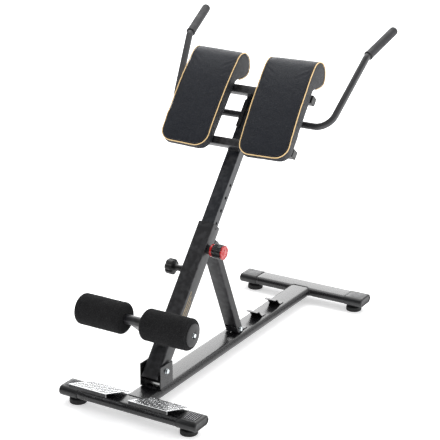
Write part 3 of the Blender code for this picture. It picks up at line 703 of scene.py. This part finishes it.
def foot_plates(m):
    """Folded tread plates: raised bars in alternate directions and a ribbed front flange."""
    (y0, z0), (y1, z1) = PLATE_FRONT, PLATE_REAR
    run = Vector((0.0, y1 - y0, z1 - z0))
    length = run.length
    down = run.normalized()
    normal = Vector((0.0, -down.z, down.y))
    width = PLATE_OUT - PLATE_IN
    for tag, side in SIDES:
        node = "foot_plate_" + tag
        bm = bmesh.new()
        bm.from_mesh(NODES[node].data)
        bmesh.ops.remove_doubles(bm, verts=bm.verts, dist=1e-6)
        bmesh.ops.dissolve_limit(bm, angle_limit=math.radians(0.7), verts=bm.verts, edges=bm.edges)
        plate = finish_mesh(node + "_finish", bm, m["bright_tread_plate"], 35)
        bevel(plate, 0.0006, 2)
        attach(plate, "base", [node])
        bars = bmesh.new()
        cols, rows = 8, 8
        for i in range(cols):
            for j in range(rows):
                u = (i + 0.5) / cols * (width - 0.010) + 0.005
                v = (j + 0.5) / rows * (length - 0.014) + 0.008
                centre = Vector((side * (PLATE_IN + u), y0, z0)) + down * v
                turn = math.radians(45 if (i + j) % 2 else -45)
                along = Vector((math.cos(turn), 0, 0)) + down * math.sin(turn)
                across = normal.cross(along)
                # A wider, lower lens in the dark material gives each bar a dark rim: painted shade and
                # reflection
                merge(bars, lens(centre, along, across, normal, 0.0102, 0.0047, 0.0007), 1)
                merge(bars, lens(centre, along, across, normal, 0.0086, 0.0028, 0.0015))
        tread = finish_mesh("tread_bars_" + tag, bars, [m["bright_tread_plate"], m["tread_painted_shade"]], 30)
        attach(tread, "base", slot="bright_tread_plate")
        grip_strip(m, tag, side, y0, z0)


def lens(centre, along, across, up, half, wide, high):
    """One raised lens-shaped bar of a checker plate."""
    bm = bmesh.new()
    steps = 8
    rims = []
    for scale, lift in ((1.0, -0.0002), (0.93, high * 0.8), (0.84, high)):
        rim = []
        for k in range(2 * steps):
            t = k / steps
            if t < 1:
                x, y = -1 + 2 * t, math.sin(math.pi * t)
            else:
                x, y = 3 - 2 * t, -math.sin(math.pi * (t - 1))
            edge = centre + along * x * half * scale
            rim.append(bm.verts.new(edge + across * y * wide * scale + up * lift))
        rims.append(rim)
    for one, two in zip(rims, rims[1:]):
        skin(bm, one, two)
    bm.faces.new(rims[-1])
    return bm


def grip_strip(m, tag, side, y0, z0):
    """Black ribbed strip on the front flange of a foot plate."""
    bm = bmesh.new()
    count = 24
    pitch = (PLATE_OUT - PLATE_IN - 0.004) / count
    for k in range(count):
        x = side * (PLATE_IN + 0.002 + pitch * (k + 0.5))
        loop = rect_loop(pitch * 0.62, 0.0016, 0.0005, 2)
        rib = loft([(loop, lambda a, b, z=z: Vector((x + a, y0 - 0.0021 + b, z)))
                    for z in (z0 - 0.0125, z0 - 0.0022)])
        merge(bm, rib)
    loop = rect_loop(PLATE_OUT - PLATE_IN - 0.001, 0.0012, 0.0005, 2)
    centre = side * (PLATE_IN + PLATE_OUT) / 2
    merge(bm, loft([(loop, lambda a, b, z=z: Vector((centre + a, y0 - 0.0018 + b, z)))
                    for z in (z0 - 0.0132, z0 - 0.0016)]))
    attach(finish_mesh("flange_grip_" + tag, bm, m["black_plastic"], 30), "base", slot="black_plastic")


# ------------------------------------------------------------ rollers and knobs
def rollers(m):
    cy, cz = -ROLL_N, ROLL_S
    for tag, side in SIDES:
        foam_roller(m, tag, side, cy, cz)
        face = ROLL_OUT + 0.0003
        profile = [(face, 0.0150), (face, 0.0372), (face + 0.0005, 0.0392), (face + 0.0014, 0.0400),
                   (face + 0.0024, 0.0392), (face + 0.0036, 0.0360), (face + 0.0046, 0.0318),
                   (face + 0.0056, 0.0262), (face + 0.0063, 0.0200), (face + 0.0067, 0.0150),
                   (face + 0.0069, 0.0128), (face + 0.0066, 0.0118), (face + 0.0056, 0.0112),
                   (face + 0.0020, 0.0106), (face + 0.0010, 0.0100), (face + 0.0008, 0.0048)]
        bm = turned([(side * t, r) for t, r in profile], cy, cz, closed=True)
        disc = finish_mesh("roller_disc_%s_finish" % tag, bm, m["disc_grey"], 40, COLUMN)
        attach(disc, "roller_" + tag, ["roller_disc_" + tag])
        ring = [(face + 0.0013, 0.0050), (face + 0.0022, 0.0050), (face + 0.0026, 0.0054),
                (face + 0.0026, 0.0088), (face + 0.0022, 0.0094), (face + 0.0013, 0.0094)]
        washer = turned([(side * t, r) for t, r in ring], cy, cz, 40, closed=True)
        attach(finish_mesh("roller_washer_" + tag, washer, m["zinc_bolt"], 40, COLUMN),
               "column", slot="zinc_bolt")


def foam_roller(m, tag, side, cy, cz):
    """Foam sleeve: soft shoulders and a dimpled skin."""
    edge = 0.0130
    profile = arc(ROLL_IN + edge, ROLL_R - edge, edge, 180, 90, 8)
    span = ROLL_OUT - ROLL_IN - 2 * edge
    profile += [(ROLL_IN + edge + span * k / 30, ROLL_R) for k in range(1, 30)]
    profile += arc(ROLL_OUT - edge, ROLL_R - edge, edge, 90, 0, 8)
    inner = [(ROLL_IN, 0.0300), (ROLL_IN + 0.0004, 0.0200), (ROLL_IN + 0.0010, 0.0125),
             (ROLL_IN + 0.0040, 0.0108), (ROLL_OUT - 0.0040, 0.0108), (ROLL_OUT - 0.0010, 0.0125),
             (ROLL_OUT - 0.0004, 0.0200), (ROLL_OUT, 0.0300)]
    ring = profile + inner[::-1]
    bm = turned([(side * t, r) for t, r in ring], 0.0, 0.0, 96, closed=True)
    for vert in bm.verts:
        flat = Vector((0, vert.co.y, vert.co.z))
        if flat.length > 0.03:
            wave = noise.noise(vert.co * 26) * 0.0007 + noise.noise(vert.co * 90) * 0.00025
            vert.co += flat.normalized() * (wave - 0.0004)
    bm.transform(Matrix.Translation((0, cy, cz)))
    obj = finish_mesh("foam_roller_%s_finish" % tag, bm, m["roller_foam"], 180, COLUMN)
    attach(obj, "roller_" + tag, ["foam_roller_" + tag])


def knobs(m):
    """Pop-pin: barrel, red ring, ribbed lobed body and domed red cap; and the clamp knob."""
    cy, cz = 0.0, PIN_S
    body = [(0.0275, 0.0040, 0), (0.0290, 0.0058, 0), (0.0562, 0.0058, 0), (0.0562, 0.0170, 0),
            (0.0566, 0.0225, 0.0010), (0.0575, 0.0243, 0.0026), (0.0592, 0.0254, 0.0034),
            (0.0630, 0.0262, 0.0042), (0.0860, 0.0266, 0.0044), (0.0900, 0.0265, 0.0042),
            (0.0918, 0.0256, 0.0036), (0.0928, 0.0240, 0.0030), (0.0929, 0.0150, 0.0)]
    bm = loft([(lobe_loop(r, d), along_x(t, cy, cz)) for t, r, d in body])
    attach(finish_mesh("pin_knob_finish", bm, m["gloss_plastic"], 42, COLUMN), "pop_pin", ["pin_knob"])
    cap = [(0.0931, 0.0180, 0), (0.0932, 0.0246, 0.0028), (0.0939, 0.0260, 0.0031),
           (0.0950, 0.0267, 0.0032), (0.0966, 0.0267, 0.0032), (0.0978, 0.0262, 0.0029),
           (0.0988, 0.0250, 0.0023), (0.0993, 0.0232, 0.0014), (0.0993, 0.0214, 0.0005),
           (0.0984, 0.0205, 0), (0.0977, 0.0190, 0), (0.0976, 0.0150, 0), (0.0980, 0.0126, 0),
           (0.0992, 0.0112, 0), (0.1002, 0.0090, 0), (0.1005, 0.0040, 0)]
    bm = loft([(lobe_loop(r, d), along_x(t, cy, cz)) for t, r, d in cap])
    attach(finish_mesh("pin_cap_finish", bm, m["red_gloss"], 42, COLUMN), "pop_pin", ["pin_cap"])
    ring = ([(0.0476, 0.0068), (0.0476, 0.0205)] + arc(0.0494, 0.0217, 0.0018, 180, 90, 5)
            + arc(0.0542, 0.0217, 0.0018, 90, 0, 5) + [(0.0560, 0.0205), (0.0560, 0.0068)])
    bm = turned(ring, cy, cz, 64, closed=True)
    attach(finish_mesh("pin_ring_finish", bm, m["red_gloss"], 40, COLUMN), "pop_pin", ["pin_ring"])
    levels = ((0.0328, 0.0), (0.0328, 0.0006), (0.0430, 0.0006), (0.0446, 0.0), (0.0452, -0.0020),
              (0.0470, -0.0040), (0.0471, -0.0071), (0.0328, -0.0071))
    bm = loft([(rect_loop(0.0268 + 2 * d, 0.0268 + 2 * d, 0.0045 + d / 4), along_x(t, cy, cz))
               for t, d in levels], closed=True)
    attach(finish_mesh("pin_barrel_finish", bm, m["black_plastic"], 40, COLUMN), "column", ["pin_barrel"])
    for k in range(7):
        a = 2 * math.pi * k / 7
        at = Vector((0.0750, cy + 0.0238 * math.cos(a), cz + 0.0238 * math.sin(a)))
        rib = bmesh.new()
        tube(rib, [at + Vector((d, 0, 0)) for d in (-0.0125, -0.0105, -0.006, 0.0, 0.006, 0.0105, 0.0125)],
             lambda i: (0.0010, 0.0024, 0.0034, 0.0037, 0.0034, 0.0024, 0.0010)[i], 14)
        attach(finish_mesh("knob_rib_%d" % k, rib, m["black_plastic"], 180, COLUMN), "pop_pin",
               slot="black_plastic")
    cz = CLAMP_S
    body = [(-0.0283, 0.0050, 0), (-0.0479, 0.0050, 0), (-0.0479, 0.0105, 0), (-0.0484, 0.0113, 0),
            (-0.0600, 0.0110, 0), (-0.0700, 0.0118, 0), (-0.0722, 0.0150, 0.0004),
            (-0.0728, 0.0240, 0.0030), (-0.0738, 0.0270, 0.0040), (-0.0756, 0.0284, 0.0044),
            (-0.0800, 0.0288, 0.0046), (-0.0950, 0.0288, 0.0046), (-0.0990, 0.0280, 0.0042),
            (-0.1015, 0.0258, 0.0032), (-0.1024, 0.0225, 0.0018), (-0.1022, 0.0180, 0.0004),
            (-0.1006, 0.0160, 0), (-0.0985, 0.0152, 0), (-0.0980, 0.0100, 0)]
    bm = loft([(lobe_loop(r, d), along_x(t, cy, cz)) for t, r, d in body])
    attach(finish_mesh("clamp_knob_finish", bm, m["black_plastic"], 42, COLUMN), "clamp", ["clamp_knob"])
    hub = [(-0.0980, 0.0030), (-0.0982, 0.0070), (-0.0996, 0.0078), (-0.1008, 0.0072), (-0.1010, 0.0010)]
    attach(finish_mesh("clamp_stud_end", turned(hub, cy, cz, 6), m["zinc_bolt"], 30, COLUMN), "clamp",
           slot="zinc_bolt")


# ------------------------------------------------------------ handlebar
def fillet_path(points, radii, steps=12):
    pts = [Vector(p) for p in points]
    path = [pts[0]]
    for i in range(1, len(pts) - 1):
        d0 = (pts[i - 1] - pts[i]).normalized()
        d1 = (pts[i + 1] - pts[i]).normalized()
        half = d0.angle(d1) / 2
        cut = radii[i - 1] / math.tan(half)
        centre = pts[i] + (d0 + d1).normalized() * (radii[i - 1] / math.sin(half))
        start, stop = pts[i] + d0 * cut - centre, pts[i] + d1 * cut - centre
        swing = start.angle(stop)
        for k in range(steps + 1):
            f = k / steps
            mix = start * math.sin((1 - f) * swing) + stop * math.sin(f * swing)
            path.append(centre + mix / math.sin(swing))
    path.append(pts[-1])
    return path


def handlebar(m):
    corner, kink = Vector((0.3230, 0.0, 0.9890)), Vector((0.3740, 0.0, 1.2855))
    tip = Vector((0.4020, 0.0860, 1.4500))
    aim = (tip - kink).normalized()
    right = fillet_path([Vector((0.0, 0.0, 0.9890)), corner, kink, tip - aim * 0.011], [0.068, 0.030])
    left = [Vector((-p.x, p.y, p.z)) for p in right[1:]][::-1]
    bm = tube(bmesh.new(), left + right[1:], 0.0127, 32)
    attach(finish_mesh("handlebar_finish", bm, m["handle_paint"], 60, COLUMN), "carriage",
           ["handlebar"])
    length = (tip - kink).length
    rows = [(0.0092, 0.0131), (0.0092, 0.0168), (0.0100, 0.0178), (0.0116, 0.0180), (0.0130, 0.0176),
            (0.0140, 0.0166)]
    count = 44
    for k in range(count):
        t = 0.0150 + (length - 0.0270) * k / (count - 1)
        rows.append((t, 0.0164 + 0.00035 * math.cos(k * math.pi)))
    rows += [(length - 0.0090, 0.0163), (length - 0.0062, 0.0158), (length - 0.0036, 0.0144),
             (length - 0.0016, 0.0118), (length - 0.0004, 0.0080), (length, 0.0030)]
    for tag, side in SIDES:
        start = Vector((side * kink.x, kink.y, kink.z))
        ahead = Vector((side * aim.x, aim.y, aim.z))
        across = ahead.cross(Vector((1, 0, 0))).normalized()
        third = ahead.cross(across)
        bm = loft([(disc_loop(r, 40), lambda a, b, t=t: start + ahead * t + across * a + third * b)
                   for t, r in rows])
        grip = finish_mesh("grip_%s_finish" % tag, bm, m["grip"], 60, COLUMN)
        attach(grip, "carriage", ["grip_" + tag])


# ------------------------------------------------------------ pads
def pad_outline():
    """Side outline (s, n) at the seams: face, bolster roll, flat back, toe; and two indices."""
    knots = [(0.8010, 0.1126), (0.8060, 0.1130), (0.8300, 0.1148), (0.8600, 0.1166), (0.9000, 0.1185),
             (0.9600, 0.1212), (1.0200, 0.1233), (1.0800, 0.1229), (1.1200, 0.1210), (1.1480, 0.1185)]
    face = []
    for i in range(len(knots) - 1):
        p0, p1 = knots[max(0, i - 1)], knots[i]
        p2, p3 = knots[i + 1], knots[min(len(knots) - 1, i + 2)]
        steps = max(1, int((p2[0] - p1[0]) / 0.006))
        face += [catmull(p0, p1, p2, p3, k / steps) for k in range(steps)]
    s0, n0 = ROLL_CENTRE
    roll = [(s0 + BOLSTER_R * math.sin(math.radians(d)), n0 + BOLSTER_R * math.cos(math.radians(d)))
            for d in range(0, 190, 7)]
    under = [(1.1330, 0.0230), (1.1240, 0.0300), (1.1160, 0.0395), (1.1080, 0.0500), (1.1010, 0.0600),
             (1.0950, 0.0680), (1.0890, 0.0720)]
    back = [(1.0820 - 0.2560 * k / 30, PAD_BACK + 0.0003) for k in range(31)]
    toe = [(0.8180, 0.0740), (0.8110, 0.0755), (0.8050, 0.0780), (0.8010, 0.0820), (0.7995, 0.0880),
           (0.7992, 0.0940), (0.7995, 0.1000), (0.8000, 0.1060)]
    return face + roll + under + back + toe, len(face), len(face) + len(roll) + len(under)


def catmull(p0, p1, p2, p3, t):
    out = []
    for a, b, c, d in zip(p0, p1, p2, p3):
        out.append(0.5 * (2 * b + (c - a) * t + (2 * a - 5 * b + 4 * c - d) * t * t
                          + (3 * b - a - 3 * c + d) * t ** 3))
    return tuple(out)


def pad_point(u, s, n):
    """A point of the right pad in the column's frame; u runs across it from its middle."""
    inset = max(0.0, PAD_HALF - abs(u))
    part = min(1.0, max(0.0, (n - PAD_BACK) / 0.045))
    radius = PAD_RADIUS[0] + (PAD_RADIUS[1] - PAD_RADIUS[0]) * part
    lift = radius - math.sqrt(radius ** 2 - max(0.0, radius - inset) ** 2)
    rise = s + lift * max(0.0, 1 - (s - PAD_LOW) / 0.100) - 1.0
    turn = math.cos(PAD_TOE), math.sin(PAD_TOE)
    return Vector((PAD_MID + u * turn[0] - rise * turn[1], -n, 1.0 + u * turn[1] + rise * turn[0]))


def seam_path(outline, roll_end):
    """Piping line: up one side and round the roll, and across the toe."""
    run = outline[:roll_end - 2]
    path = [pad_point(-PAD_HALF, s, n) for s, n in run[::-1]]
    s, n = run[0]
    steps = 48
    for k in range(1, steps):
        path.append(pad_point(-PAD_HALF * math.cos(math.pi * k / steps), s, n))
    return path + [pad_point(PAD_HALF, s, n) for s, n in run]


def pad_blank(outline, face_end, roll_end):
    """Closed form of the right pad: the outline lofted across, lightly crowned."""
    count = 30
    s0, n0 = ROLL_CENTRE
    sections = []
    for k in range(count + 1):
        u = -PAD_HALF * math.cos(math.pi * k / count)
        crown = 0.0030 * (1 - (1 - min(1.0, (PAD_HALF - abs(u)) / 0.030)) ** 2)
        ring = []
        for i, (s, n) in enumerate(outline):
            if i < face_end:
                n += crown
            elif i < roll_end - 7:
                s, n = s + (s - s0) / BOLSTER_R * crown * 0.4, n + (n - n0) / BOLSTER_R * crown * 0.4
            ring.append((s, n))
        sections.append((ring, lambda s, n, u=u: pad_point(u, s, n)))
    return loft(sections)


def near_distance(points, cell=0.012):
    """Distance to the nearest of many points, up to about one cell."""
    grid = {}
    for p in points:
        grid.setdefault(tuple(int(math.floor(c / cell)) for c in p), []).append(p)

    def measure(at):
        key = tuple(int(math.floor(c / cell)) for c in at)
        best = 1.0
        for dx in (-1, 0, 1):
            for dy in (-1, 0, 1):
                for dz in (-1, 0, 1):
                    for p in grid.get((key[0] + dx, key[1] + dy, key[2] + dz), ()):
                        best = min(best, (p - at).length)
        return best
    return measure


def blow_up(obj, distance):
    """Inflate the pad's cover between its pinned seams, then keep the result."""
    pins = obj.vertex_groups.new(name="pins")
    start = [v.co.copy() for v in obj.data.vertices]
    for v in obj.data.vertices:
        back = -v.co.y < PAD_BACK + 0.005 and v.co.z < 1.095
        pins.add([v.index], 1.0 if back or distance(v.co) < 0.0050 else 0.0, "REPLACE")
    mod = obj.modifiers.new("Cloth", "CLOTH")
    cloth = mod.settings
    cloth.quality = 6
    cloth.mass = 0.25
    cloth.tension_stiffness = 22
    cloth.compression_stiffness = 22
    cloth.shear_stiffness = 8
    cloth.bending_stiffness = 1.2
    cloth.use_pressure = True
    cloth.uniform_pressure_force = 5.0
    cloth.vertex_group_mass = "pins"
    cloth.effector_weights.gravity = 0.0
    scene = bpy.context.scene
    scene.frame_start, scene.frame_end = 1, 20
    for f in range(1, 21):
        scene.frame_set(f)
    result = obj.evaluated_get(bpy.context.evaluated_depsgraph_get()).data
    moved = [v.co.copy() for v in result.vertices]
    scene.frame_set(1)
    obj.modifiers.remove(mod)
    for v, a, b in zip(obj.data.vertices, start, moved):
        step = b - a
        if step.length > SWELL:
            step *= SWELL / step.length
        v.co = a + step


def pads(m):
    outline, face_end, roll_end = pad_outline()
    path = seam_path(outline, roll_end)
    distance = near_distance(spread(path, 0.003))
    shell = finish_mesh("hip_pad_right_finish", pad_blank(outline, face_end, roll_end),
                        m["pad_leatherette"], 180)
    mod = shell.modifiers.new("remesh", "REMESH")
    mod.mode = "VOXEL"
    mod.voxel_size = 0.0042
    mod.use_smooth_shade = True
    mesh = bpy.data.meshes.new_from_object(shell.evaluated_get(bpy.context.evaluated_depsgraph_get()))
    shell.modifiers.remove(mod)
    shell.data = mesh
    blow_up(shell, distance)
    pinch_seam(mesh, distance)
    mesh.materials.clear()
    mesh.materials.append(m["pad_leatherette"])
    mesh.materials.append(m["pad_side"])
    # Faces turned to either side take the lighter leatherette: painted light on the side panels
    for poly in mesh.polygons:
        poly.material_index = 1 if abs(poly.normal.x) > 0.72 else 0
        poly.use_smooth = True
    tree = BVHTree.FromPolygons([v.co.copy() for v in mesh.vertices],
                                [tuple(p.vertices) for p in mesh.polygons])
    line = spread(path, 0.0030)
    welt = []
    for p in line:
        spot, normal = tree.find_nearest(p)[:2]
        welt.append(spot.lerp(p, 0.4) + normal * 0.0008)
    welt = [(a + b * 2 + c) / 4 for a, b, c in zip(welt, welt[1:], welt[2:])]
    pipe = finish_mesh("piping_right", tube(bmesh.new(), welt, 0.0019, 12), m["piping"], 180)
    seams = finish_mesh("stitching_right", stitches(tree, line), m["thread"], 180)
    toe = finish_mesh("toe_seam_right", toe_seams(tree), m["thread"], 180)
    parts = {"hip_pad": shell, "piping": pipe, "stitching": seams, "toe_seam": toe}
    for key, obj in parts.items():
        mirror = obj.data.copy()
        obj.data.transform(COLUMN)
        mirror.transform(COLUMN @ Matrix.Diagonal((-1, 1, 1, 1)))
        mirror.flip_normals()
        name = key + "_left" + ("_finish" if key == "hip_pad" else "")
        twin = bpy.data.objects.new(name, mirror)
        bpy.context.scene.collection.objects.link(twin)
        for tag, item in (("right", obj), ("left", twin)):
            if key == "hip_pad":
                fine = item.modifiers.new("fine", "SUBSURF")
                fine.levels = fine.render_levels = 1
                attach(item, "carriage", ["hip_pad_" + tag])
            else:
                attach(item, "carriage", slot="pad_leatherette")
    board_fixings(m)


def pinch_seam(mesh, distance):
    """Pull the cover in along the seam line, with small puckers and a worn-in surface."""
    normals = [v.vector.copy() for v in mesh.vertex_normals]
    for v in mesh.vertices:
        near = distance(v.co)
        depth = 0.0016 * math.exp(-(near / 0.0045) ** 2)
        pucker = 0.0006 * noise.noise(v.co * 95) * math.exp(-(near / 0.014) ** 2)
        crumple = 0.0005 * noise.noise(v.co * 20) + 0.0003 * noise.noise(v.co * 60)
        toe = v.co.z < PAD_LOW + 0.012 and -v.co.y < 0.108
        fold = 0.0011 * math.sin(-v.co.y * 2 * math.pi / 0.0125) if toe else 0.0
        v.co = v.co + normals[v.index] * (pucker + crumple + fold - depth)


def stitches(tree, line):
    """Short stitches on the face, along the piping."""
    bm = bmesh.new()
    for i in range(2, len(line) - 2, 2):
        p, ahead = line[i], (line[i + 1] - line[i - 1]).normalized()
        inward = Vector((PAD_MID, p.y - 0.004, 0.97)) - p
        inward = (inward - ahead * inward.dot(ahead)).normalized()
        if p.z > 1.10:
            inward = Vector((1 if p.x < PAD_MID else -1, 0, 0))
        spot, normal, _, dist = tree.find_nearest(p + inward * 0.0068)
        if spot is None or dist > 0.012:
            continue
        half = ahead * 0.0019
        tube(bm, [spot - half - normal * 0.0002, spot + normal * 0.0003, spot + half - normal * 0.0002],
             lambda k: (0.0003, 0.00055, 0.0003)[k], 6)
    return bm


def toe_seams(tree):
    """Two sewn lines across the toe panel, below the piping."""
    bm = bmesh.new()
    for n in (0.0860, 0.1010):
        pts = []
        for k in range(41):
            u = (PAD_HALF - 0.030) * (2 * k / 40 - 1)
            spot, normal = tree.find_nearest(pad_point(u, PAD_LOW, n))[:2]
            pts.append(spot + normal * 0.0001)
        tube(bm, pts, 0.0007, 6)
    return bm


def board_fixings(m):
    """Hex screws through the crossbars into the pad boards, and staples round the boards."""
    for tag, side in SIDES:
        for row, s in (("lower", BAR_S[0]), ("upper", BAR_S[1])):
            for k, x in enumerate((0.105, 0.205)):
                bm = bmesh.new()
                for r, n0, n1, sides in ((0.0085, 0.0359, 0.0347, 32), (0.0060, 0.0347, 0.0313, 6)):
                    merge(bm, loft([(disc_loop(r, sides), lambda a, b, n=n: Vector((side * x + a, -n, s + b)))
                                    for n in (n0, n1)]))
                screw = finish_mesh("pad_screw_%s_%s_%d" % (row, tag, k), bm, m["zinc_bolt"], 30, COLUMN)
                bevel(screw, 0.0004, 2)
                attach(screw, "carriage", slot="zinc_bolt")
        bm = bmesh.new()
        loop = []
        for a, b in rect_loop(0.166, 0.236, 0.018):
            p = pad_point(0.0, 0.9550, 0.0681)
            loop.append(Vector((side * (p.x + a - b * PAD_TOE), p.y, p.z + b + a * PAD_TOE)))
        pts = spread(loop, 0.011, True)
        for i, p in enumerate(pts):
            ahead = (pts[(i + 1) % len(pts)] - p).normalized() * 0.0038
            if abs(p.z - BAR_S[0]) < 0.018 or abs(p.z - BAR_S[1]) < 0.018:
                continue
            tube(bm, [p - ahead, p + ahead], 0.00045, 6)
        attach(finish_mesh("board_staples_" + tag, bm, m["zinc_bolt"], 180, COLUMN), "carriage",
               slot="zinc_bolt")


# ------------------------------------------------------------ small trim
def trim(m):
    """Bolt washers, a peg and three plain gold stripes on the column, and dark rims round the post's holes,
    painted shade at the holes' edges.
    """
    places = (("clevis", "base", 0.0425, PIVOT.y, PIVOT.z, 0.0092),
              ("strut_foot", "strut", 0.0280, FOOT_PIN.y, FOOT_PIN.z, 0.0086))
    for name, body, x, y, z, r in places:
        for tag, side in SIDES:
            ring = [(x + 0.00005, 0.0052), (x + 0.0011, 0.0052), (x + 0.0011, r), (x + 0.0007, r + 0.0004),
                    (x + 0.00005, r + 0.0004)]
            bm = turned([(side * t, q) for t, q in ring], y, z, 40, closed=True)
            attach(finish_mesh("washer_%s_%s" % (name, tag), bm, m["zinc_bolt"], 40), body,
                   slot="zinc_bolt")
    peg = turned([(0.0324, 0.0034), (0.0329, 0.0037), (0.0334, 0.0030), (0.0336, 0.0008)], 0.0, 0.5405, 24)
    # Matte black rings round the post's holes: painted shade at the hole edges
    rims = bmesh.new()
    for k in range(HOLES):
        s = HOLE_FIRST + k * HOLE_PITCH
        ring = [(0.02585, 0.0048), (0.02605, 0.0050), (0.02615, 0.0057), (0.02605, 0.0065), (0.02585, 0.0067)]
        merge(rims, turned(ring, 0.0, s, 32, closed=True))
    attach(finish_mesh("hole_shade_rims", rims, m["black_rubber"], 60, COLUMN), "carriage", slot="black_plastic")
    attach(finish_mesh("liner_peg", peg, m["black_rubber"], 60, COLUMN), "column", slot="black_plastic")
    stripes = bmesh.new()
    for b, start, stop in ((-0.0100, 0.155, 0.295), (0.0, 0.170, 0.280), (0.0100, 0.185, 0.265)):
        pts = [Vector((0.03255, b, s)) for s in (start, stop)]
        loop = rect_loop(0.0016, 0.0002, 0.00005, 1)
        merge(stripes, loft([(loop, lambda a, c, z=p.z, y=p.y: Vector((0.03255 + c, y + a, z)))
                             for p in pts]))
    attach(finish_mesh("column_pinstripes", stripes, m["pinstripe"], 40, COLUMN), "column",
           slot="satin_black_paint")


# ------------------------------------------------------------ studio
def studio():
    bpy.ops.mesh.primitive_plane_add(size=24, location=(0, 0, -0.0002))
    floor = bpy.context.object
    floor.name = "studio_floor"
    g = Graph("studio_floor", (0.92, 0.92, 0.925), 0.80, Specular_IOR_Level=0.1)
    g.bump(g.noise(4.0, 2.0), 0.001, 0.05)
    g.tint(g.ramp(g.noise(2.0, 3.0), 0.3, 0.7, 0.0, 0.3), (0.90, 0.90, 0.91))
    reach = g.add("ShaderNodeVectorMath", operation="LENGTH")
    g.link(g.place, reach.inputs[0])
    far = g.add("ShaderNodeMapRange", {"From Min": 1.5, "From Max": 3.5, "To Min": 0.42},
                interpolation_type="SMOOTHSTEP")
    g.link(reach.outputs["Value"], far.inputs["Value"])
    g.shader.inputs["Emission Color"].default_value = (1, 1, 1, 1)
    g.link(far.outputs["Result"], g.shader.inputs["Emission Strength"])
    floor.data.materials.append(g.mat)
    world = bpy.data.worlds.new("studio")
    bpy.context.scene.world = world
    world.use_nodes = True
    sky(world.node_tree)
    soft_light("overhead", (-0.6, 1.3, 3.3), (0.0, 0.0, 0.2), (3.4, 3.4), 85.0)
    soft_light("right_side", (3.6, 1.2, 1.4), (0.0, 0.0, 0.6), (1.6, 2.2), 42.0)
    screen = soft_light("back_screen", (-2.6, 4.8, 2.1), (0.0, 0.0, 0.3), (5.0, 3.0), 150.0)
    screen.visible_diffuse = False
    bpy.context.scene.view_settings.view_transform = "Standard"


def sky(tree):
    """White to the camera and even for diffuse light; reflections see it bright behind, dim in front."""
    back = tree.nodes["Background"]
    coords = tree.nodes.new("ShaderNodeTexCoord")
    split = tree.nodes.new("ShaderNodeSeparateXYZ")
    tree.links.new(coords.outputs["Generated"], split.inputs[0])
    depth = tree.nodes.new("ShaderNodeMapRange")
    for key, value in (("From Min", -0.6), ("From Max", 0.9), ("To Min", 0.06), ("To Max", 1.0)):
        depth.inputs[key].default_value = value
    tree.links.new(split.outputs["Y"], depth.inputs["Value"])
    high = tree.nodes.new("ShaderNodeMapRange")
    for key, value in (("From Min", 0.1), ("From Max", 0.9), ("To Min", 0.0), ("To Max", 0.25)):
        high.inputs[key].default_value = value
    tree.links.new(split.outputs["Z"], high.inputs["Value"])
    total = tree.nodes.new("ShaderNodeMath")
    tree.links.new(depth.outputs["Result"], total.inputs[0])
    tree.links.new(high.outputs["Result"], total.inputs[1])
    path = tree.nodes.new("ShaderNodeLightPath")
    even = tree.nodes.new("ShaderNodeMix")
    even.inputs["B"].default_value = 0.95
    tree.links.new(path.outputs["Is Diffuse Ray"], even.inputs["Factor"])
    tree.links.new(total.outputs[0], even.inputs["A"])
    pick = tree.nodes.new("ShaderNodeMix")
    pick.inputs["B"].default_value = 1.0
    tree.links.new(path.outputs["Is Camera Ray"], pick.inputs["Factor"])
    tree.links.new(even.outputs["Result"], pick.inputs["A"])
    back.inputs["Color"].default_value = (1.0, 1.0, 1.0, 1.0)
    tree.links.new(pick.outputs["Result"], back.inputs["Strength"])


def soft_light(name, place, target, size, watts):
    data = bpy.data.lights.new(name, "AREA")
    data.shape = "RECTANGLE"
    data.size, data.size_y = size
    data.energy = watts
    light = bpy.data.objects.new(name, data)
    light.location = place
    light.rotation_euler = (Vector(target) - Vector(place)).to_track_quat("-Z", "Y").to_euler()
    light.visible_camera = False
    bpy.context.scene.collection.objects.link(light)
    return light


def camera():
    yaw, pitch, roll = math.radians(30.865), math.radians(-19.408), math.radians(0.244)
    ahead = Vector((-math.sin(yaw) * math.cos(pitch), math.cos(yaw) * math.cos(pitch), math.sin(pitch)))
    right = Vector((math.cos(yaw), math.sin(yaw), 0.0))
    up = right.cross(ahead)
    across = right * math.cos(roll) + up * math.sin(roll)
    over = up * math.cos(roll) - right * math.sin(roll)
    turn = Matrix((across, over, -ahead)).transposed()
    data = bpy.data.cameras.new("camera")
    data.sensor_width = 36.0
    data.lens = 122.1
    data.shift_x, data.shift_y = -0.0010, -0.0011
    data.clip_end = 60.0
    cam = bpy.data.objects.new("camera", data)
    cam.matrix_world = Matrix.Translation((2.613, -4.393, 2.3365)) @ turn.to_4x4()
    bpy.context.scene.collection.objects.link(cam)
    bpy.context.scene.camera = cam


def main():
    m = make_materials()
    camera()
    studio()
    frame_finishes(m)
    base_tubes(m)
    welds(m)
    end_caps(m)
    feet(m)
    foot_plates(m)
    rollers(m)
    knobs(m)
    handlebar(m)
    pads(m)
    trim(m)


main()
